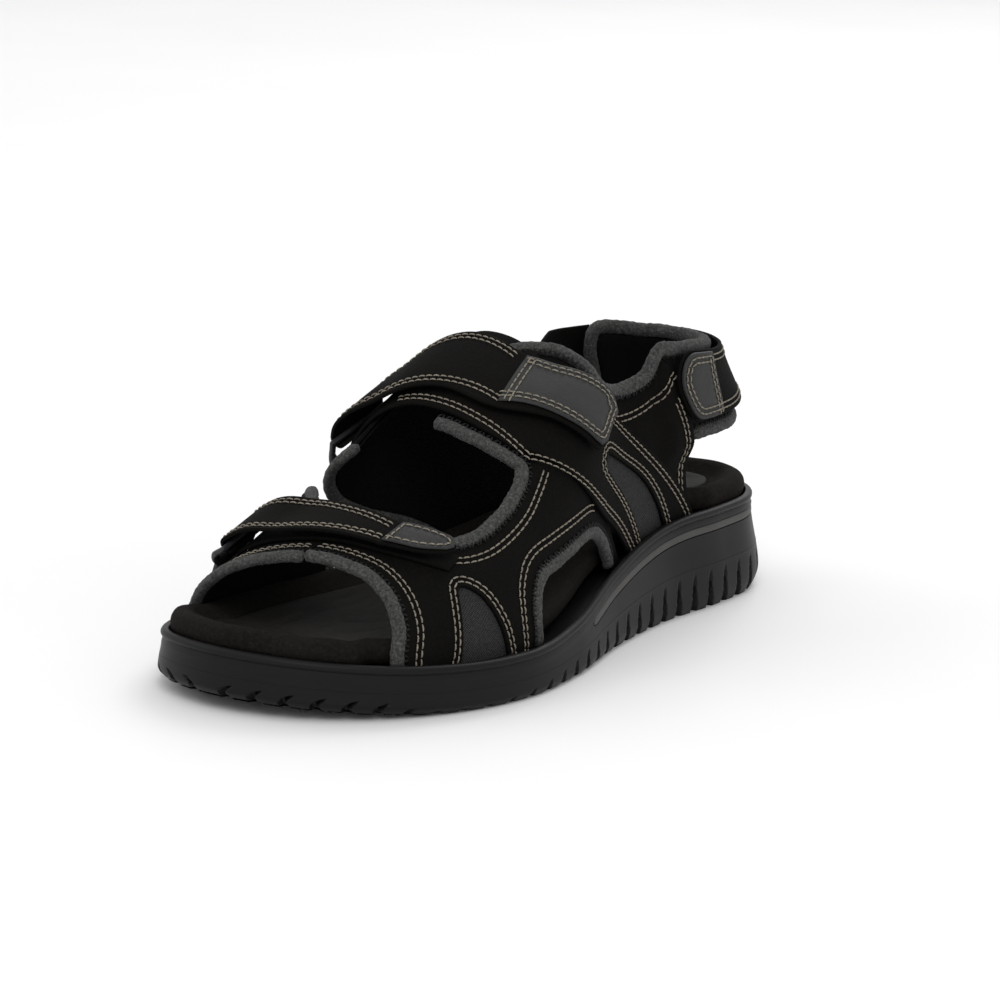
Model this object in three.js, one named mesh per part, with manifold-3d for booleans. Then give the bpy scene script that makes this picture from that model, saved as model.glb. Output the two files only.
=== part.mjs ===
// Strappy sport sandal, left foot: tread, sole unit, footbed, leather upper with textile windows,
// padded heel band and three hook-and-loop straps.
// Millimetres. +Z up, toe towards -Y, heel towards +Y, outer (little-toe) side towards +X.
import * as THREE from 'three';
import { mergeVertices } from 'three/addons/utils/BufferGeometryUtils.js';
import Module from 'manifold-3d';

const wasm = await Module();
wasm.setup();
const { clamp, lerp, smoothstep } = THREE.MathUtils;

// ---- Overall sizes -------------------------------------------------------------------------
const base_length = 290;          // the size the pattern pieces are drawn at
const overall_length = 290;       // toe tip to heel back
const forefoot_width = 113;       // across the ball of the foot
const heel_width = 80;
const base_instep = 103;          // the instep height the pattern pieces are drawn at
const instep_height = 103;        // ground to the foot's ridge under the instep strap's rear edge
const collar_height = 108;        // ground to the top of the ankle form
const rim_height_forefoot = 16;
const rim_height_heel = 35.5;
const toe_spring = 5.5;
const heel_spring = 2.5;

// ---- Sole sizes ----------------------------------------------------------------------------
const rim_inset_forefoot = 1.5;   // the rim stands this far inside the widest line
const rim_inset_heel = 4.5;
const rim_wall = 2.0;
const lip_height = 2.6;           // rounded lip along the rim
const lip_out = 0.8;
const upper_tuck = 5;             // the upper reaches this far below the rim
const upper_clearance = 1.2;      // rim's inner wall to the outermost leather
const tread_share = 0.46;         // tread height over sole height
const lug_pitch = 10.5;
const lug_depth = 3.6;
const stripe_drop = 6.6;          // rim to the stripe's middle
const stripe_height = 2.6;
const stripe_depth = 1.1;
const roll_height = 6.2;          // the footbed's rolled edge stands this far above the rim
const cover_thickness = 1.2;
const sock_thickness = 0.7;

// ---- Upper sizes ---------------------------------------------------------------------------
const gap = 0.4;                  // between touching pieces
const bed_clearance = 1.1;        // footbed's side to the upper's lining
const lining = 0.6;
const leather = 1.4;
const patch = 0.7;                // hook and loop patches
const tab_leather = 1.0;
const binding_radius = 1.9;
const band_padding = 3.6;
const ring_thickness = 2.0;
const ring_bar = 2.2;
const strap_lift = 3.0;           // the straps rise this far to go round their ring's bar
const fold_radius = 2.5;          // bar centre to the middle of the folded strap

// ---- Layers, measured outward from the foot ------------------------------------------------
const lining_in = 0;
const shell_in = lining_in + lining + gap;
const shell_out = shell_in + leather;
const over_in = shell_out + gap;
const over_out = over_in + leather;
const loop_in = over_out + gap;
const hook_in = loop_in + patch + gap;
const strap_in = hook_in + patch + gap;
const strap_out = strap_in + leather;
const tab_in = strap_out + gap;
const band_out = shell_in + band_padding;
const edge_clearance = binding_radius + gap;

const length_scale = overall_length / base_length;
const height_scale = instep_height / base_instep;

// ---- Sole outline --------------------------------------------------------------------------
// Pairs of [distance from the heel as a share of the length, distance out as a share of half the
// local width]; outer side first, from heel to toe, then the inner side back.
const OUTLINE = [
  [0, 0], [0.019, 0.5], [0.079, 0.82], [0.172, 0.93], [0.31, 0.92], [0.448, 0.96],
  [0.586, 1.06], [0.707, 1.07], [0.817, 0.95], [0.914, 0.68], [0.979, 0.28],
  [1, -0.18], [0.972, -0.61], [0.897, -0.88], [0.783, -0.99], [0.672, -0.975],
  [0.552, -0.88], [0.431, -0.79], [0.31, -0.83], [0.19, -0.92], [0.086, -0.84], [0.019, -0.5],
];
const TOE_POINT = 11;
const outline_curve = new THREE.CatmullRomCurve3(OUTLINE.map(([along, out]) => {
  const width = lerp(heel_width, forefoot_width, smoothstep(along, 0.2, 0.75));
  return new THREE.Vector3(out * width / 2, overall_length * (0.5 - along), 0);
}), true, 'centripetal');

// Each side of the outline as a fine polyline from toe to heel, with its running length.
const FINE = 1320;
function sideLine(side) {
  const toe = FINE * TOE_POINT / OUTLINE.length;
  const points = [];
  for (let i = 0; i <= (side > 0 ? toe : FINE - toe); i++) {
    points.push(outline_curve.getPoint((side > 0 ? toe - i : toe + i) / FINE));
  }
  const run = [0];
  for (let i = 1; i < points.length; i++) {
    run.push(run[i - 1] + points[i].distanceTo(points[i - 1]));
  }
  return { side, points, run, length: run[run.length - 1] };
}
const OUTER = sideLine(1);
const INNER = sideLine(-1);
const lineOf = (side) => (side > 0 ? OUTER : INNER);

// A point on a side's polyline with its outward direction, found by running length.
function alongSide(side, distance) {
  const { points, run, length } = lineOf(side);
  const wanted = clamp(distance, 0, length);
  let low = 0;
  let high = run.length - 1;
  while (high - low > 1) {
    const middle = (low + high) >> 1;
    if (run[middle] <= wanted) low = middle;
    else high = middle;
  }
  const point = points[low].clone().lerp(points[high], (wanted - run[low]) / (run[high] - run[low]));
  const forward = points[high].clone().sub(points[low]).normalize();
  return { point, out: new THREE.Vector3(side * forward.y, -side * forward.x, 0) };
}

// Stations: the distance back along the foot, -145 at the toe tip. Up to `bend` a station is the
// y place; past it the station runs on round the heel, and `heel_station` is the heel's middle.
const bend = 90;
const heel_station = 160;
function runAtStation(side, station) {
  const { points, run, length } = lineOf(side);
  const y = Math.min(station, bend) * length_scale;
  let i = points.length - 1;
  while (i > 1 && points[i - 1].y >= y) i--;
  const share = (y - points[i - 1].y) / (points[i].y - points[i - 1].y);
  const at = lerp(run[i - 1], run[i], clamp(share, 0, 1));
  return station <= bend ? at : lerp(at, length, (station - bend) / (heel_station - bend));
}

// ---- Heights along the sole ----------------------------------------------------------------
const springAt = (y) => toe_spring * clamp((-y / length_scale - 70) / 75, 0, 1) ** 2
  + heel_spring * clamp((y / length_scale - 112) / 33, 0, 1) ** 2;
const riseAt = (y) => smoothstep(y / length_scale, -60, 80);
const rimAt = (y) => lerp(rim_height_forefoot, rim_height_heel, riseAt(y))
  + toe_spring * clamp((-y / length_scale - 70) / 75, 0, 1) ** 2;
const partingAt = (y) => springAt(y) + tread_share * (rimAt(y) - springAt(y));
const rimInset = (y) => lerp(rim_inset_forefoot, rim_inset_heel, riseAt(y));
const pocketInset = (y) => rimInset(y) + rim_wall;
const footInset = (y) => pocketInset(y) + upper_clearance + over_out;
const pocketFloor = (y) => rimAt(y) - upper_tuck - gap;

// How far inside the widest line the side wall stands, at a share of the sole's height.
function wallInset(y, share) {
  const widest = 0.2;
  if (share < widest) return 2.6 * (1 - share / widest) ** 2;
  return rimInset(y) * smoothstep(share, widest, 1) ** 0.8;
}

// ---- The foot form -------------------------------------------------------------------------
const RIDGE = [
  [-146, 20], [-134, 34], [-112, 43], [-85, 49.5], [-60, 59], [-35, 75], [-15, 88], [0, 96],
  [15, 103], [30, 108], [45, 110],
];
const ridge_curve = new THREE.CatmullRomCurve3(RIDGE.map(([y, z]) => new THREE.Vector3(0, y, z)));
const RIDGE_LINE = ridge_curve.getPoints(120);
function ridgeHeight(y) {
  const wanted = clamp(y, RIDGE[0][0], RIDGE[RIDGE.length - 1][0]);
  let i = 1;
  while (i < RIDGE_LINE.length - 1 && RIDGE_LINE[i].y < wanted) i++;
  const a = RIDGE_LINE[i - 1];
  const b = RIDGE_LINE[i];
  return height_scale * lerp(a.z, b.z, clamp((wanted - a.y) / (b.y - a.y), 0, 1));
}
const ankle_station = 5;          // ahead of it the form closes over the foot, behind it is open
const ankle_front = 32;
const ankle_back = 104;
const ankle_half_width = 25;
const ridge_shift = -10;          // the instep's ridge lies towards the inner side
function topOfForm(side, station) {
  if (station < ankle_station) {
    const y = station + (ankle_front - ankle_station) * smoothstep(station, -60, ankle_station);
    const x = ridge_shift * smoothstep(station, -75, -15);
    return { point: new THREE.Vector3(x, y * length_scale, ridgeHeight(y)), open: 0 };
  }
  const turn = Math.PI * (station - ankle_station) / (heel_station - ankle_station);
  const open = smoothstep(turn, 0, 1.1);
  const middle = (ankle_front + ankle_back) / 2;
  const reach = (ankle_back - ankle_front) / 2;
  const x = side * ankle_half_width * Math.sin(turn) + ridge_shift * (1 - smoothstep(turn, 0, 1.2));
  const y = (middle - reach * Math.cos(turn)) * length_scale;
  return { point: new THREE.Vector3(x, y, lerp(ridgeHeight(ankle_front), collar_height, open)), open };
}

// The form's section at a station: from the sole's edge up to the ridge or the ankle's rim.
const SECTION_STEPS = 24;
const section_store = new Map();
function sectionAt(side, station) {
  const key = side * (station + 1000);
  if (section_store.has(key)) return section_store.get(key);
  const { point, out } = alongSide(side, runAtStation(side, station));
  const start = point.clone().addScaledVector(out, -footInset(point.y));
  start.z = rimAt(point.y) - upper_tuck;
  const { point: end, open } = topOfForm(side, station);
  const height = end.z - start.z;
  const half = Math.abs(start.x - end.x);
  const full = side < 0 ? smoothstep(station, -100, -60) * (1 - smoothstep(station, 20, 60)) : 0;
  const low = start.clone().addScaledVector(out, 0.03 * height + 3 * full);
  low.z += (0.52 + 0.12 * full) * height;
  const crown = end.clone();
  crown.x += side * (0.62 + 0.2 * full) * half;
  const rim = end.clone().addScaledVector(out, 1);
  rim.z -= 0.4 * height;
  const curve = new THREE.CubicBezierCurve3(start, low, crown.lerp(rim, open), end);
  const points = curve.getPoints(SECTION_STEPS);
  const run = [0];
  for (let i = 1; i < points.length; i++) {
    run.push(run[i - 1] + points[i].distanceTo(points[i - 1]));
  }
  const section = { curve, run, length: run[SECTION_STEPS] };
  section_store.set(key, section);
  return section;
}
const sectionLength = (side, station) => sectionAt(side, station).length / height_scale;

// A point on the form: `up` runs along the section from the sole's edge.
function formPoint(side, station, up) {
  const { curve, run } = sectionAt(side, station);
  const wanted = up * height_scale;
  let i = 0;
  while (i < SECTION_STEPS - 1 && run[i + 1] < wanted) i++;
  const share = (wanted - run[i]) / (run[i + 1] - run[i]);
  return curve.getPoint((i + share) / SECTION_STEPS);
}
function lifted(pointAt, a, b, away, outward) {
  const step = 0.8;
  const da = pointAt(a + step, b).sub(pointAt(a - step, b));
  const db = pointAt(a, b + step).sub(pointAt(a, b - step));
  return pointAt(a, b).addScaledVector(da.cross(db).normalize(), away * outward);
}
// Pattern coordinates on one wall: station, distance up from the sole's edge, distance outward.
const onWall = (side) => (station, up, away) => (
  lifted((a, b) => formPoint(side, a, b), station, up, away, side));
// Pattern coordinates over the instep: station, distance from the ridge (outer side positive).
function overPoint(station, across) {
  const side = across >= 0 ? 1 : -1;
  return formPoint(side, station, sectionLength(side, station) - Math.abs(across));
}
const overFoot = (station, across, away) => lifted(overPoint, station, across, away, -1);
// Pattern coordinates round the heel: distance from the heel's middle (outer side positive).
function roundPoint(around, up) {
  return formPoint(around >= 0 ? 1 : -1, heel_station - Math.abs(around), up);
}
const roundHeel = (around, up, away) => lifted(roundPoint, around, up, away, -1);

// ---- Making solids -------------------------------------------------------------------------
const bare = (geometry) => {
  const copy = geometry.index ? geometry.toNonIndexed() : geometry.clone();
  copy.deleteAttribute('normal');
  copy.deleteAttribute('uv');
  return mergeVertices(copy, 1e-4);
};
function volumeOf(positions, faces) {
  let sum = 0;
  const [a, b, c] = [new THREE.Vector3(), new THREE.Vector3(), new THREE.Vector3()];
  for (let i = 0; i < faces.length; i += 3) {
    a.fromArray(positions, 3 * faces[i]);
    b.fromArray(positions, 3 * faces[i + 1]);
    c.fromArray(positions, 3 * faces[i + 2]);
    sum += a.dot(b.cross(c));
  }
  return sum;
}
function closed(positions, faces) {
  if (volumeOf(positions, faces) < 0) faces.reverse();
  const geometry = new THREE.BufferGeometry();
  geometry.setAttribute('position', new THREE.Float32BufferAttribute(positions, 3));
  geometry.setIndex(faces);
  return geometry;
}

// Even triangles over a flat shape: edges are swapped to the rounder choice, and an edge longer
// than the step is halved, until none is left.
function evened(flat, step) {
  const xy = flat.attributes.position;
  const points = Array.from({ length: xy.count }, (_, i) => new THREE.Vector2(xy.getX(i), xy.getY(i)));
  const faces = [];
  for (let i = 0; i < flat.index.count; i += 3) {
    faces.push([0, 1, 2].map((k) => flat.index.getX(i + k)));
  }
  const ordered = (a, b) => (a < b ? [a, b] : [b, a]);
  const sharing = () => {
    const edges = new Map();
    faces.forEach((face, f) => face.forEach((a, k) => {
      const key = ordered(a, face[(k + 1) % 3]).join(' ');
      if (!edges.has(key)) edges.set(key, []);
      edges.get(key).push(f);
    }));
    return edges;
  };
  const third = (f, a, b) => faces[f].find((v) => v !== a && v !== b);
  const runsForward = (f, a, b) => faces[f][(faces[f].indexOf(a) + 1) % 3] === b;
  const angleAt = (corner, a, b) => {
    const to_a = points[a].clone().sub(points[corner]);
    const to_b = points[b].clone().sub(points[corner]);
    return Math.abs(Math.atan2(to_a.cross(to_b), to_a.dot(to_b)));
  };
  const swapEdges = () => {
    const touched = new Set();
    for (const [key, [f, g]] of sharing()) {
      if (g === undefined || touched.has(f) || touched.has(g)) continue;
      let [a, b] = key.split(' ').map(Number);
      if (!runsForward(f, a, b)) [a, b] = [b, a];
      const c = third(f, a, b);
      const d = third(g, a, b);
      if (angleAt(c, a, b) + angleAt(d, a, b) < Math.PI + 1e-5) continue;
      faces[f] = [a, d, c];
      faces[g] = [d, b, c];
      touched.add(f).add(g);
    }
    return touched.size > 0;
  };
  const halveEdges = () => {
    const touched = new Set();
    const lengthOf = ([key]) => {
      const [a, b] = key.split(' ').map(Number);
      return points[a].distanceTo(points[b]);
    };
    const long = [...sharing()].filter((edge) => lengthOf(edge) > step);
    long.sort((p, q) => lengthOf(q) - lengthOf(p));
    for (const [key, owners] of long) {
      if (owners.some((f) => touched.has(f))) continue;
      const [a, b] = key.split(' ').map(Number);
      const middle = points.push(points[a].clone().lerp(points[b], 0.5)) - 1;
      for (const f of owners) {
        const c = third(f, a, b);
        const [from, to] = runsForward(f, a, b) ? [a, b] : [b, a];
        faces[f] = [from, middle, c];
        faces.push([middle, to, c]);
        touched.add(f).add(faces.length - 1);
      }
    }
    return long.length > 0;
  };
  do {
    for (let pass = 0; pass < 40 && swapEdges(); pass++);
  } while (halveEdges());
  const even = new THREE.BufferGeometry();
  even.setAttribute('position', new THREE.Float32BufferAttribute(points.flatMap((p) => [p.x, p.y, 0]), 3));
  even.setIndex(faces.flat());
  return even;
}

// A flat pattern piece laid on the form: cut as a shape, divided, then given its two faces.
function laid(shape, place, inner, outer, step = 10.5) {
  return laidFlat(evened(bare(new THREE.ShapeGeometry(shape, 8)), step), place, inner, outer);
}
function laidFlat(flat, place, inner, outer) {
  const piece = bare(flat);
  const xy = piece.attributes.position;
  const faces = Array.from(piece.index.array);
  const count = xy.count;
  const positions = [];
  for (const away of [outer, inner]) {
    for (let i = 0; i < count; i++) {
      positions.push(...place(xy.getX(i), xy.getY(i), away).toArray());
    }
  }
  const edges = new Map();
  for (let i = 0; i < faces.length; i += 3) {
    for (let k = 0; k < 3; k++) {
      const a = faces[i + k];
      const b = faces[i + (k + 1) % 3];
      if (edges.has(`${b} ${a}`)) edges.delete(`${b} ${a}`);
      else edges.set(`${a} ${b}`, [a, b]);
    }
  }
  const all = [...faces];
  for (let i = 0; i < faces.length; i += 3) {
    all.push(count + faces[i + 2], count + faces[i + 1], count + faces[i]);
  }
  for (const [a, b] of edges.values()) {
    all.push(b, a, count + a, b, count + a, count + b);
  }
  return closed(positions, all);
}

// A round binding along a run of pattern points.
function bound(run, place, away, radius = binding_radius, spacing = 5.5) {
  const flat = smoothRun(run, 4);
  const path = new THREE.CatmullRomCurve3(flat.map((p) => place(p.x, p.y, away)));
  path.arcLengthDivisions = 600;
  const circle = new THREE.Shape().absarc(0, 0, radius, 0, 2 * Math.PI);
  const steps = Math.max(2, Math.round(path.getLength() / spacing));
  return bare(new THREE.ExtrudeGeometry(circle, {
    steps, curveSegments: 4, bevelEnabled: false, extrudePath: path,
  }));
}

// Points spaced evenly on a smooth line through a run of pattern points.
function smoothRun(run, spacing = 4) {
  const curve = new THREE.CatmullRomCurve3(run.map(([a, b]) => new THREE.Vector3(a, b, 0)));
  return curve.getSpacedPoints(Math.max(2, Math.round(curve.getLength() / spacing)));
}
// The same run moved sideways, to the left of its direction when `by` is positive.
function shifted(run, by, spacing = 4) {
  const points = smoothRun(run, spacing);
  return points.map((p, i) => {
    const before = points[Math.max(i - 1, 0)];
    const after = points[Math.min(i + 1, points.length - 1)];
    const along = after.clone().sub(before).normalize();
    return [p.x - along.y * by, p.y + along.x * by];
  });
}
// A closed outline: straight between runs, smooth within each run.
function outlined(...runs) {
  const points = runs.flatMap((run) => (run.length > 2 ? smoothRun(run).map((p) => [p.x, p.y]) : run));
  return new THREE.Shape(points.map(([a, b]) => new THREE.Vector2(a, b)));
}
function withHoles(shape, ...holes) {
  shape.holes.push(...holes.map((hole) => new THREE.Path(hole.getPoints())));
  return shape;
}
const fromRidge = (side, station, across) => [station, sectionLength(side, station) - across];

const toSolid = (geometry) => {
  const clean = geometry.index ? geometry : bare(geometry);
  return new wasm.Manifold(new wasm.Mesh({
    numProp: 3,
    vertProperties: new Float32Array(clean.attributes.position.array),
    triVerts: new Uint32Array(clean.index.array),
  }));
};
function fromSolid(solid) {
  const mesh = solid.getMesh();
  const geometry = new THREE.BufferGeometry();
  geometry.setAttribute('position', new THREE.Float32BufferAttribute(mesh.vertProperties, 3));
  geometry.setIndex(Array.from(mesh.triVerts));
  return geometry;
}

// Rings round the foot, joined one to the next and closed at both ends across the foot.
const RING_STEPS = 26;
function ringPoints(inset, height) {
  const points = [];
  const visit = (side, i) => {
    const { point, out } = alongSide(side, lineOf(side).length * i / RING_STEPS);
    const y = point.y;
    const station = stationAt(side, i);
    const placed = point.clone().addScaledVector(out, -inset(y, station));
    placed.z = height(y, station);
    points.push(placed);
  };
  for (let i = 0; i <= RING_STEPS; i++) visit(1, i);
  for (let i = RING_STEPS - 1; i > 0; i--) visit(-1, i);
  return points;
}
function stationAt(side, i) {
  const { length } = lineOf(side);
  const bend_run = runAtStation(side, bend);
  const at = length * i / RING_STEPS;
  if (at <= bend_run) return alongSide(side, at).point.y / length_scale;
  return lerp(bend, heel_station, (at - bend_run) / (length - bend_run));
}
function stacked(levels) {
  const rings = levels.map(([inset, height]) => ringPoints(inset, height));
  const n = rings[0].length;
  const positions = rings.flat().flatMap((p) => p.toArray());
  const faces = [];
  for (let r = 0; r + 1 < rings.length; r++) {
    for (let i = 0; i < n; i++) {
      const a = r * n + i;
      const b = r * n + (i + 1) % n;
      faces.push(a, b, a + n, b, b + n, a + n);
    }
  }
  const across = (ring, flip) => {
    const at = (i) => ring * n + (i + n) % n;
    const cap = [at(0), at(1), at(-1)];
    for (let i = 1; i < RING_STEPS - 1; i++) {
      cap.push(at(i), at(i + 1), at(-i), at(i + 1), at(-i - 1), at(-i));
    }
    cap.push(at(RING_STEPS - 1), at(RING_STEPS), at(-RING_STEPS + 1));
    faces.push(...(flip ? cap.reverse() : cap));
  };
  across(0, true);
  across(rings.length - 1, false);
  return closed(positions, faces);
}

const group = new THREE.Group();
const add = (name, geometry, color, roughness, metalness = 0) => {
  geometry.computeVertexNormals();
  const material = new THREE.MeshStandardMaterial({ color, roughness, metalness });
  const mesh = new THREE.Mesh(geometry, material);
  mesh.name = name;
  group.add(mesh);
};
const NUBUCK = '#1d1b1a';
const SMOOTH_GREY = '#4b4d4c';
const MELANGE = '#474747';
const BLACK_TEXTILE = '#131313';
const SOLE = '#232325';
const STRIPE = '#5f5f5a';
const SUEDE = '#23201c';
const PLASTIC = '#3c3c3e';

// ---- Sole unit -----------------------------------------------------------------------------
const flatInset = (value) => (y) => wallInset(y, value);
const shareHeight = (share) => (y) => springAt(y) + share * (rimAt(y) - springAt(y));

// A point on the sole's side: `around` from the heel's middle, `height` share up, `depth` inward.
function onSide(around, share, depth) {
  const side = around >= 0 ? 1 : -1;
  const { point, out } = alongSide(side, lineOf(side).length - Math.abs(around));
  const placed = point.clone().addScaledVector(out, -wallInset(point.y, clamp(share, 0, 1)) - depth);
  placed.z = shareHeight(share)(point.y);
  return placed;
}

// One side groove: wide at the ground, leaning and narrowing upward.
function lugCutter(around, lean, top_share, foot_width) {
  const shape = new THREE.Shape([
    new THREE.Vector2(around - foot_width / 2, -0.1),
    new THREE.Vector2(around + foot_width / 2, -0.1),
    new THREE.Vector2(around + lean + 0.5, top_share),
    new THREE.Vector2(around + lean - 0.5, top_share),
  ]);
  return laid(shape, onSide, -5, lug_depth, 60);
}
function tread() {
  const top_share = tread_share;
  let solid = toSolid(stacked([
    [flatInset(0), shareHeight(0)],
    [flatInset(0.06), shareHeight(0.06)],
    [flatInset(0.2), shareHeight(0.2)],
    [flatInset(top_share), (y) => partingAt(y) - gap / 2],
  ]));
  const cutters = [];
  for (const side of [1, -1]) {
    const reach = lineOf(side).length;
    const count = Math.floor((reach - 8) / lug_pitch);
    for (let i = 0; i < count; i++) {
      const from_heel = 5 + i * lug_pitch;
      const rear = 1 - smoothstep(from_heel / reach, 0.5, 0.72);
      const toe = smoothstep(from_heel / reach, 0.78, 0.84);
      const height = lerp(0.24, 0.42, Math.max(rear, toe * 0.5));
      cutters.push(lugCutter(side * from_heel, side * (3.2 * rear + 1.2), height, lerp(2.2, 3.4, rear)));
    }
  }
  // Flex channels across the ground face, in shallow chevrons.
  const channel_count = 9;
  for (let i = 0; i < channel_count; i++) {
    const y = overall_length * (-0.4 + 0.8 * i / (channel_count - 1));
    const chevron = new THREE.Shape([[-1, 4], [0, -2], [1, 4], [1, 6.6], [0, 0.6], [-1, 6.6]].map(
      ([x, dy]) => new THREE.Vector2(x * heel_width * 0.3, y + dy)));
    const prism = new THREE.ExtrudeGeometry(chevron, { depth: 3 + toe_spring, bevelEnabled: false });
    prism.translate(0, 0, springAt(y) - 1.4 - toe_spring);
    cutters.push(bare(prism));
  }
  for (const cutter of cutters) {
    solid = solid.subtract(toSolid(cutter));
  }
  return fromSolid(solid);
}
add('outsole', tread(), SOLE, 0.55);

const stripe_reach = 178 * length_scale;
function stripeBand(grow) {
  const half = stripe_height / 2 + grow;
  const reach = stripe_reach + grow;
  const place = (around, height, depth) => {
    const side = around >= 0 ? 1 : -1;
    const { point } = alongSide(side, lineOf(side).length - Math.abs(around));
    const z = rimAt(point.y) - stripe_drop + height;
    const share = (z - springAt(point.y)) / (rimAt(point.y) - springAt(point.y));
    return onSide(around, share, depth);
  };
  const strip = new THREE.PlaneGeometry(2 * reach, 2 * half, 64, 1);
  const xy = strip.attributes.position;
  for (let i = 0; i < xy.count; i++) {
    const to_end = clamp((reach - Math.abs(xy.getX(i))) / (3 * half), 0.12, 1);
    xy.setY(i, xy.getY(i) * Math.sqrt(to_end * (2 - to_end)));
  }
  return laidFlat(strip, place, -0.25 - 2 * grow, stripe_depth + grow);
}
function midsole() {
  const lip = (out) => (y) => wallInset(y, 1) - out;
  const body = stacked([
    [flatInset(tread_share), (y) => partingAt(y) + gap / 2],
    [flatInset(0.62), shareHeight(0.62)],
    [flatInset(0.82), (y) => Math.min(shareHeight(0.82)(y), rimAt(y) - lip_height - 0.6)],
    [lip(0), (y) => rimAt(y) - lip_height],
    [lip(lip_out), (y) => rimAt(y) - lip_height + 0.7],
    [lip(lip_out), (y) => rimAt(y) - 0.8],
    [lip(0), rimAt],
    [(y) => pocketInset(y) - 0.4, rimAt],
    [pocketInset, (y) => rimAt(y) - 0.5],
    [pocketInset, pocketFloor],
  ]);
  return fromSolid(toSolid(body).subtract(toSolid(stripeBand(0.3))));
}
add('midsole', midsole(), SOLE, 0.5);
add('side_stripe', stripeBand(0), STRIPE, 0.5);

// The footbed spreads to the rim where no upper stands beside it: round the toe and the heel.
const upper_front = -117;
const upper_rear = 86;
const spread = (station) => Math.max(
  1 - smoothstep(station, upper_front - 8, upper_front), smoothstep(station, upper_rear, upper_rear + 8));
const bedInset = (further) => (y, station) => lerp(
  footInset(y) + bed_clearance, pocketInset(y) + gap, spread(station)) + further;
const aboveRim = (height) => (y) => rimAt(y) + height;
const cover_gap = cover_thickness + 0.3;
add('footbed_foam', stacked([
  [bedInset(0.3), (y) => pocketFloor(y) + gap],
  [bedInset(0.3), aboveRim(-1.5)],
  [bedInset(cover_gap), aboveRim(-1.2)],
  [bedInset(cover_gap), aboveRim(roll_height - 4)],
  [bedInset(4.2), aboveRim(roll_height - cover_gap)],
  [bedInset(8.2), aboveRim(roll_height - 1.8 - cover_gap)],
  [bedInset(12.5), aboveRim(2.2 - cover_gap)],
  [bedInset(20), aboveRim(1 - cover_gap)],
]), '#151515', 0.9);
add('footbed_cover', stacked([
  [bedInset(20), aboveRim(1 - cover_thickness)],
  [bedInset(12.3), aboveRim(2.2 - cover_thickness)],
  [bedInset(8), aboveRim(roll_height - 1.8 - cover_thickness)],
  [bedInset(4.2), aboveRim(roll_height - cover_thickness)],
  [bedInset(cover_thickness), aboveRim(roll_height - 3.6)],
  [bedInset(cover_thickness), aboveRim(-0.8)],
  [bedInset(0), aboveRim(-0.8)],
  [bedInset(0), aboveRim(roll_height - 3)],
  [bedInset(1.1), aboveRim(roll_height - 1)],
  [bedInset(4.2), aboveRim(roll_height)],
  [bedInset(8.4), aboveRim(roll_height - 1.8)],
  [bedInset(12.8), aboveRim(2.2)],
  [bedInset(20), aboveRim(1)],
]), SUEDE, 0.95);
add('sock_panel', stacked([
  [bedInset(20.5), aboveRim(1 + 0.35)],
  [bedInset(14.5), aboveRim(1.9 + 0.35)],
  [bedInset(14.5), aboveRim(1.9 + 0.35 + sock_thickness)],
  [bedInset(20.5), aboveRim(1 + 0.35 + sock_thickness)],
]), '#2a2622', 0.7);

// ---- Outer side ----------------------------------------------------------------------------
const OUT = onWall(1);
const IN = onWall(-1);

// Edge of the toe opening, from the sole up to the ridge.
const outer_toe_edge = [
  [-108.5, 0], [-107.5, 7], [-104, 16], [-101, 27], [-100, 37], [-101.5, 46], fromRidge(1, -104, 0.5),
];
const outer_arch_edge = [
  [-48.5, 0], [-48, 17], [-42, 25.5], [-30, 28], [-4, 28], [11, 20], [21, 8], [24, 0],
];
const outer_instep_edge = [
  fromRidge(1, -84, 8), [-75, 44], [-66, 41.5], [-55, 42.5], [-42, 48], [-34, 55],
];
const front_fin = [[-87, 3.5], [-81, 21], [-77, 28], [-72, 25], [-67, 13], [-65, 3.5]];
const outer_vamp_shape = () => outlined(
  outer_toe_edge, [fromRidge(1, -84, 0.5)], outer_instep_edge,
  [[-30.4, 60], [-24, 59]], [[8, 33], [32, 0]], [...outer_arch_edge].reverse());
add('lateral_vamp', laid(withHoles(outer_vamp_shape(), outlined(front_fin)),
  OUT, shell_in, shell_out), NUBUCK, 0.85);
add('lateral_vamp_lining', laid(outer_vamp_shape(), OUT, lining_in, lining_in + lining, 10.5),
  BLACK_TEXTILE, 0.9);
const front_fin_insert = [[-86, 4.1], [-80.4, 21], [-77, 27.2], [-72.6, 24.4], [-67.7, 13], [-65.8, 4.1]];
add('front_fin_insert', laid(outlined(front_fin_insert), OUT, shell_in, shell_in + 0.8), MELANGE, 0.95);

// The slanting band: from the sole at the heel up over the instep to the ring on the inner side.
const toRidge = ([station, up]) => [station, sectionLength(1, station) - up];
const instep_bar = -38;
const band_foot = [[38, 0.3], [46, 0.3], [54, 0.3], [62, 0.3], [72, 0.3], [82, 0.3]].map(toRidge);
const runToRidge = (run) => smoothRun(run, 6).map((p) => toRidge([p.x, p.y]));
const band_rear = runToRidge([[83, 0.5], [80, 6], [69, 19], [48, 38], [15, 61], [4, 67]]);
const band_front = runToRidge([[-27, 60], [1, 32], [23, 15], [37, 0.3]]);
const rear_fin_low = [[45, 4], [36, 17], [27, 27], [16, 36.5], [8, 43.5]];
const rear_fin_high = [[12, 46.5], [30, 36], [46, 25], [56, 14], [62, 4]];
const outer_band_shape = withHoles(outlined(
  band_foot, band_rear, [[-12, 32], [-12, 8], [-13, -20], [-17, instep_bar - 1]],
  [[-33.5, instep_bar - 1], [-34.5, -16], [-35.5, 4], [-35.5, 20], [-33.5, 34]], band_front,
), outlined(runToRidge(rear_fin_low), runToRidge(rear_fin_high)));
add('lateral_instep_band', laid(outer_band_shape, overFoot, over_in, over_out), NUBUCK, 0.85);
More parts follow.
